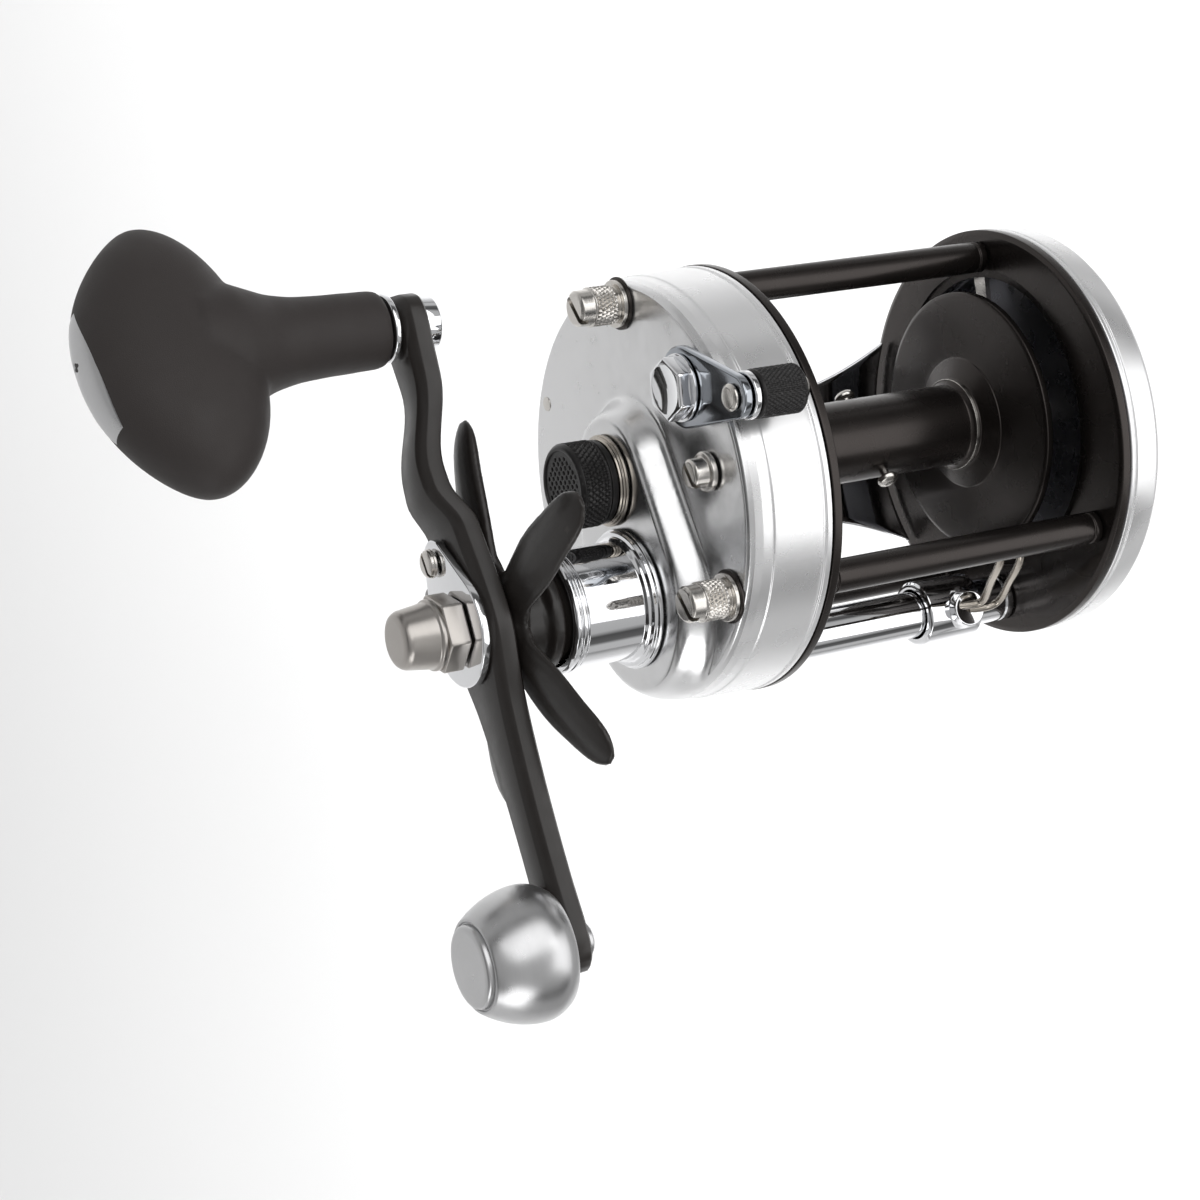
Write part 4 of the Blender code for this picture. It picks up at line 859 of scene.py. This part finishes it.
def build_star():
    x = low_x("star_drag")
    hub = lathe("star_wheel", [(0, 0), (0, 7.2), (5.6, 7.2), (6.0, 8.3), (7.6, 8.3), (8.3, 7.0),
                               (13.4, 7.0), (13.9, 6.4), (13.9, 0)], (x, *HANDLE), 96, 0.3)
    web = lathe("web", [(66.9, 0), (66.9, 11.6), (67.6, 11.9), (69.0, 9.0), (69.0, 0)],
                (0, *HANDLE), 96, 0.4)

    def scallop(v):
        """Draws the web in between the arms."""
        turn = np.arctan2(v[:, 2], v[:, 1])
        gap = np.min([np.abs((turn - radians(a) + pi) % tau - pi) for a in STAR_ANGLES], axis=0)
        r = np.hypot(v[:, 1], v[:, 2])
        scale = np.where(r > 8.5, 1 - 0.34 * np.clip(gap / 0.63, 0, 1) ** 1.3, 1.0)
        out = v.copy()
        out[:, 1:] *= scale[:, None]
        return out
    places = scallop(np.array([v.co for v in web.data.vertices]) / MM) * MM
    for vertex, place in zip(web.data.vertices, places):
        vertex.co = place
    merge(hub, [web] + [star_blade(radians(a)) for a in STAR_ANGLES])
    melt(hub, 0.33, 3)
    piece(hub, "star", "black_enamel", "enamel", "star_drag")


def smooth_path(stations, count):
    """Catmull-Rom points through rows of numbers."""
    rows = np.array(stations, float)
    rows = np.vstack((2 * rows[0] - rows[1], rows, 2 * rows[-1] - rows[-2]))
    out = []
    for k in range(1, len(rows) - 2):
        a, b, c, d = rows[k - 1:k + 3]
        for t in np.linspace(0, 1, count, endpoint=False):
            out.append(0.5 * (2 * b + (c - a) * t + (2 * a - 5 * b + 4 * c - d) * t * t
                              + (3 * b - a - 3 * c + d) * t ** 3))
    return out + [rows[-2]]


def ease(t):
    """From 0 to 1, starting and stopping softly."""
    return 0.5 - 0.5 * cos(pi * min(1.0, max(0.0, t)))


def arm_bow(s):
    """Centre of the handle arm along X: bowed outwards, then back in to the knob."""
    return ARM_X + sum(step * ease((-s - start) / length) for step, start, length in ARM_BENDS)


def build_handle():
    stations = [(-51.7, 1.2), (-51.2, 2.9), (-49.8, 4.8), (-47.0, 5.6), (-42.0, 5.0), (-34, 4.2),
                (-28, 4.4), (-23, 4.9), (-17, 5.8), (-12, 6.6), (-7, 7.5), (-3, 8.1), (0, 8.3),
                (3, 8.0), (8, 6.7), (14, 5.4), (26, 4.4), (38, 4.2), (46, 4.6), (50.0, 4.2),
                (51.8, 2.6), (52.5, 1.0)]
    along = np.array([0, cos(ARM_TURN), sin(ARM_TURN)])
    across = np.array([0, -sin(ARM_TURN), cos(ARM_TURN)])
    sections = []
    for s, half in smooth_path(stations, 6):
        centre = along * s + np.array([arm_bow(s), 0, 0])
        t = ARM_T / 2
        chamfer = min(1.5, half * 0.4)
        corners = [(half - 0.35, -t), (half, -t + 0.35), (half, t - 1.5), (half - 0.15, t - 1.2),
                   (half - chamfer, t - 0.1), (half - chamfer - 0.2, t), (-half + chamfer + 0.2, t),
                   (-half + chamfer, t - 0.1), (-half + 0.15, t - 1.2), (-half, t - 1.5),
                   (-half, -t + 0.35), (-half + 0.35, -t)]
        sections.append([tuple(centre + across * a + np.array([b, 0, 0])) for a, b in corners])
    arm = loft("handle_bar", sections, (0, *HANDLE), 32.0)
    piece(arm, "crank", "black_enamel", "enamel", "handle_arm")

    x = low_x("nut_retainer")
    screw = axis("retainer_screw")
    away = (screw[0] - HANDLE[0], screw[1] - HANDLE[1])
    plate = slab("retainer_plate", belt((0, 0), 8.6, away, 3.4), 0, 1.3, (x, *HANDLE), 0.3)
    piece(plate, "crank", "polished_chrome", "chrome", "nut_retainer")

    x = low_x("retainer_screw")
    head = lathe("retainer_bolt", [(0, 0), (0, 0.8), (1.5, 0.8), (1.5, 2.2), (1.9, 2.2),
                                   (2.0, 2.05), (2.4, 2.05), (2.7, 1.6), (2.7, 0)],
                 (x, *screw), 56, 0.12)
    carve(head, [slot_tool(x + 2.7, screw, 4.0, 0.65, 0.8, 0.4)])
    piece(head, "crank", "nickel_steel", "nickel", "retainer_screw")

    x = low_x("handle_nut")
    nut = slab("cap_nut", polygon(6, 6.0, 0.25, 0.4), 0, 3.4, (x, *HANDLE), 0.35)
    dome = lathe("dome", [(2.6, 0), (2.6, 4.6), (3.6, 5.3), (4.2, 5.3), (4.4, 4.95), (8.7, 4.35),
                          (9.4, 3.9), (9.7, 3.2), (9.7, 0)], (x, *HANDLE), 96, 0.3)
    carve(nut, [dome], "UNION")
    piece(nut, "crank", "nickel_steel", "warm_grey", "handle_nut")

    x = low_x("counterweight")
    # fullest 9.7 mm along, and falling off faster towards the arm
    swell = [(s, 10 - (0.041 if s > 9.7 else 0.11) * (s - 9.7) ** 2)
             for s in np.linspace(6.1, 17.4, 22)]
    profile = [(0, 0), (0, 2.0), (0.5, 2.6), (1.4, 2.6), (1.4, 1.6), (5.9, 1.6), (5.9, 7.9)]
    profile += swell + [(18.3, 6.95), (18.5, 6.7), (18.4, 6.45), (18.1, 6.35), (18.1, 6.15),
                        (18.9, 6.05), (19.25, 5.8), (19.4, 5.3), (19.4, 0)]
    weight = lathe("handle_weight", profile, (x, *WEIGHT), 160, 0.15)
    piece(weight, "crank", "polished_chrome", "satin", "counterweight")

    x = low_x("knob_spindle")
    spindle = lathe("knob_axle", [(0.3, 0), (0.3, 1.6), (0, 2.0), (0, 3.4), (0.6, 4.1), (2.9, 4.1),
                                  (2.9, 2.0), (7.6, 2.0), (7.6, 5.0), (7.8, 5.2), (8.4, 5.2),
                                  (8.6, 5.0), (8.6, 2.0), (31.5, 2.0), (31.5, 0)],
                    (x, *KNOB), 96, 0.12)
    piece(spindle, "crank", "polished_chrome", "chrome", "knob_spindle")


# ---------------------------------------------------------------- knob

KNOB_TURN = radians(31.0)
KNOB_HALF = 22.6
KNOB_X = low_x("power_knob")
KNOB_SHIFT = 1.2               # bar's middle, off the spindle along the bar
KNOB_MID = 33.0                # bar's middle along X, from the stem's foot
KNOB_SIDE = 9.2                # bar's half width


def build_knob():
    way = np.array([0, cos(KNOB_TURN), sin(KNOB_TURN)])
    side = np.array([0, -sin(KNOB_TURN), cos(KNOB_TURN)])
    sections = []
    stations, around = 48, 48
    for i in range(stations + 1):
        t = sin(0.5 * pi * (2 * i / stations - 1) * 0.99)
        reach = KNOB_HALF * t
        swell = (1 - abs(t) ** 3.0) ** 0.5
        outer = (14.15 - 0.013 * reach ** 2) * swell
        inner = (12.6 - 0.006 * reach ** 2) * swell
        sections.append([tuple(way * (reach + KNOB_SHIFT) + side * KNOB_SIDE * swell * cos(a)
                               + np.array([KNOB_MID + (outer if sin(a) > 0 else inner) * sin(a), 0, 0]))
                         for a in (tau * k / around for k in range(around))])
    knob = loft("grip", sections, (KNOB_X, *KNOB))
    stem = lathe("stem", [(0, 0), (0, 5.6), (0.3, 5.9), (4.2, 6.0), (4.3, 5.9), (4.5, 5.9),
                          (4.6, 6.0), (9.0, 6.1), (14.0, 6.4), (18.0, 7.2), (21.0, 8.4),
                          (24.0, 9.6), (30.0, 9.8), (30.0, 0)], (KNOB_X, *KNOB), 96, 0.3)
    merge(knob, [stem])
    melt(knob, 0.5, 22)
    tree = BVHTree.FromPolygons([v.co.copy() for v in knob.data.vertices],
                                [tuple(p.vertices) for p in knob.data.polygons])
    piece(knob, "knob", "soft_black", "rubber", "power_knob")

    long_half, wide_half, middle = 10.6, 4.3, 1.9
    rows, columns = 44, 14
    vertices = []
    for lift in (0.15, -0.6):
        for i in range(rows + 1):
            s = 2 * i / rows - 1
            for j in range(columns + 1):
                c = 2 * j / columns - 1
                width = wide_half * (1 - 0.68 * s * s) + 0.9 * max(0.0, s)
                flat = way * (long_half * s + middle) + side * width * c
                hit = tree.ray_cast(Vector((0.08, flat[1] * MM, flat[2] * MM)), Vector((-1, 0, 0)))
                edge = max(abs(c) ** 8, abs(s) ** 16)
                rise = lift - (0.25 * edge if lift > 0 else 0)
                dip = 0.5 if lift > 0 and np.hypot(s * long_half + middle, c * width) < 0.7 else 0.0
                vertices.append((hit[0].x / MM + rise - dip, flat[1], flat[2]))
    inlay = add_mesh("knob_inlay", vertices, sheet_faces(rows, columns), (KNOB_X, *KNOB), 50.0)
    piece(inlay, "knob", "polished_chrome", "satin", "knob_end_cap")


# ---------------------------------------------------------------- works kept from the CAD

def finish_works():
    """Gives each CAD node that isn't replaced the full material of its kind."""
    looks = {"satin_aluminium": "spun", "polished_chrome": "chrome", "black_anodised": "anodised",
             "black_enamel": "enamel", "soft_black": "rubber", "nickel_steel": "nickel",
             "brass": "brass", "drag_fibre": "fibre", "white_nylon": "nylon"}
    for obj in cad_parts.values():
        if obj.hide_render:
            continue
        given = obj.data.materials[0].name.split(".")[0] if obj.data.materials else "nickel_steel"
        obj.data.materials.clear()
        obj.data.materials.append(MATERIALS[looks.get(given, "nickel")])


# ---------------------------------------------------------------- stage, lights and camera

def softbox(name, place, target, size, power):
    data = bpy.data.lights.new(name, "AREA")
    data.shape = "RECTANGLE"
    data.size, data.size_y = size
    data.energy = power
    light = bpy.data.objects.new(name, data)
    light.location = place
    light.rotation_euler = (Vector(target) - Vector(place)).to_track_quat("-Z", "Y").to_euler()
    bpy.context.scene.collection.objects.link(light)


FLOOR_DROP = 0.14              # m, below the reel's foot
FLOOR_HALF = 6.0               # m


def build_stage():
    lo, hi = cad_bounds
    middle = (Vector(lo) + Vector(hi)) / 2
    floor = bpy.data.meshes.new("floor")
    corners = [(FLOOR_HALF * x, FLOOR_HALF * y, 0) for x, y in ((-1, -1), (1, -1), (1, 1), (-1, 1))]
    floor.from_pydata(corners, [], [(0, 1, 2, 3)])
    stage = bpy.data.objects.new("floor", floor)
    stage.location = (0, 0, lo[2] - FLOOR_DROP)
    bpy.context.scene.collection.objects.link(stage)
    pale = surface("pale_floor", (0.80, 0.80, 0.80), 0.0, 0.7, mottle=0.004, mottle_size=300.0,
                   grain=0.0)
    floor.materials.append(pale)

    world = bpy.data.worlds.new("studio")
    bpy.context.scene.world = world
    world.use_nodes = True
    nodes, links = world.node_tree.nodes, world.node_tree.links
    coord = nodes.new("ShaderNodeTexCoord")
    height = nodes.new("ShaderNodeSeparateXYZ")
    links.new(coord.outputs["Generated"], height.inputs[0])
    ramp = nodes.new("ShaderNodeValToRGB")
    links.new(height.outputs[2], ramp.inputs[0])
    stops = [(0.0, 0.92), (0.20, 0.92), (0.30, 0.22), (0.50, 0.14), (0.62, 0.80), (1.0, 0.95)]
    for place, level in stops[2:]:
        ramp.color_ramp.elements.new(place)
    for element, (place, level) in zip(ramp.color_ramp.elements, stops):
        element.position = place
        element.color = (level, level, level, 1)
    links.new(ramp.outputs[0], nodes["Background"].inputs["Color"])
    nodes["Background"].inputs["Strength"].default_value = 0.55

    softbox("key", middle + Vector((0.15, -0.55, 0.95)), middle, (1.3, 1.0), 5)
    softbox("top", middle + Vector((-0.75, 0.10, 0.85)), middle, (1.1, 1.2), 5)
    softbox("side", middle + Vector((0.35, 0.95, 0.35)), middle, (0.4, 0.7), 2)
    under = Vector((-0.20, middle.y, lo[2] - 0.03))
    softbox("floor_wash", under, under - Vector((0, 0, 1)), (0.5, 0.62), 0.8)


CAMERA_PLACE = (0.24103, -0.01639, 0.40051)
CAMERA_BACK = (0.4658, -0.0768, 0.8815)
CAMERA_RIGHT = (-0.8698, 0.1434, 0.4721)
CAMERA_LENS = 81.66            # mm, on a 36 mm sensor


def add_camera():
    camera = bpy.data.objects.new("camera", bpy.data.cameras.new("camera"))
    bpy.context.scene.collection.objects.link(camera)
    back = Vector(CAMERA_BACK).normalized()
    right = Vector(CAMERA_RIGHT)
    right = (right - back * right.dot(back)).normalized()
    up = back.cross(right)
    camera.matrix_world = Matrix.Translation(CAMERA_PLACE) @ Matrix(
        (right, up, back)).transposed().to_4x4()
    camera.data.sensor_width = 36.0
    camera.data.lens = CAMERA_LENS
    bpy.context.scene.camera = camera
    bpy.context.scene.view_settings.view_transform = "Standard"


build_covers()
build_frame()
build_foot()
build_screws()
build_cap()
build_lever()
build_spool()
build_guide()
build_star()
build_handle()
build_knob()
finish_works()
build_stage()
add_camera()
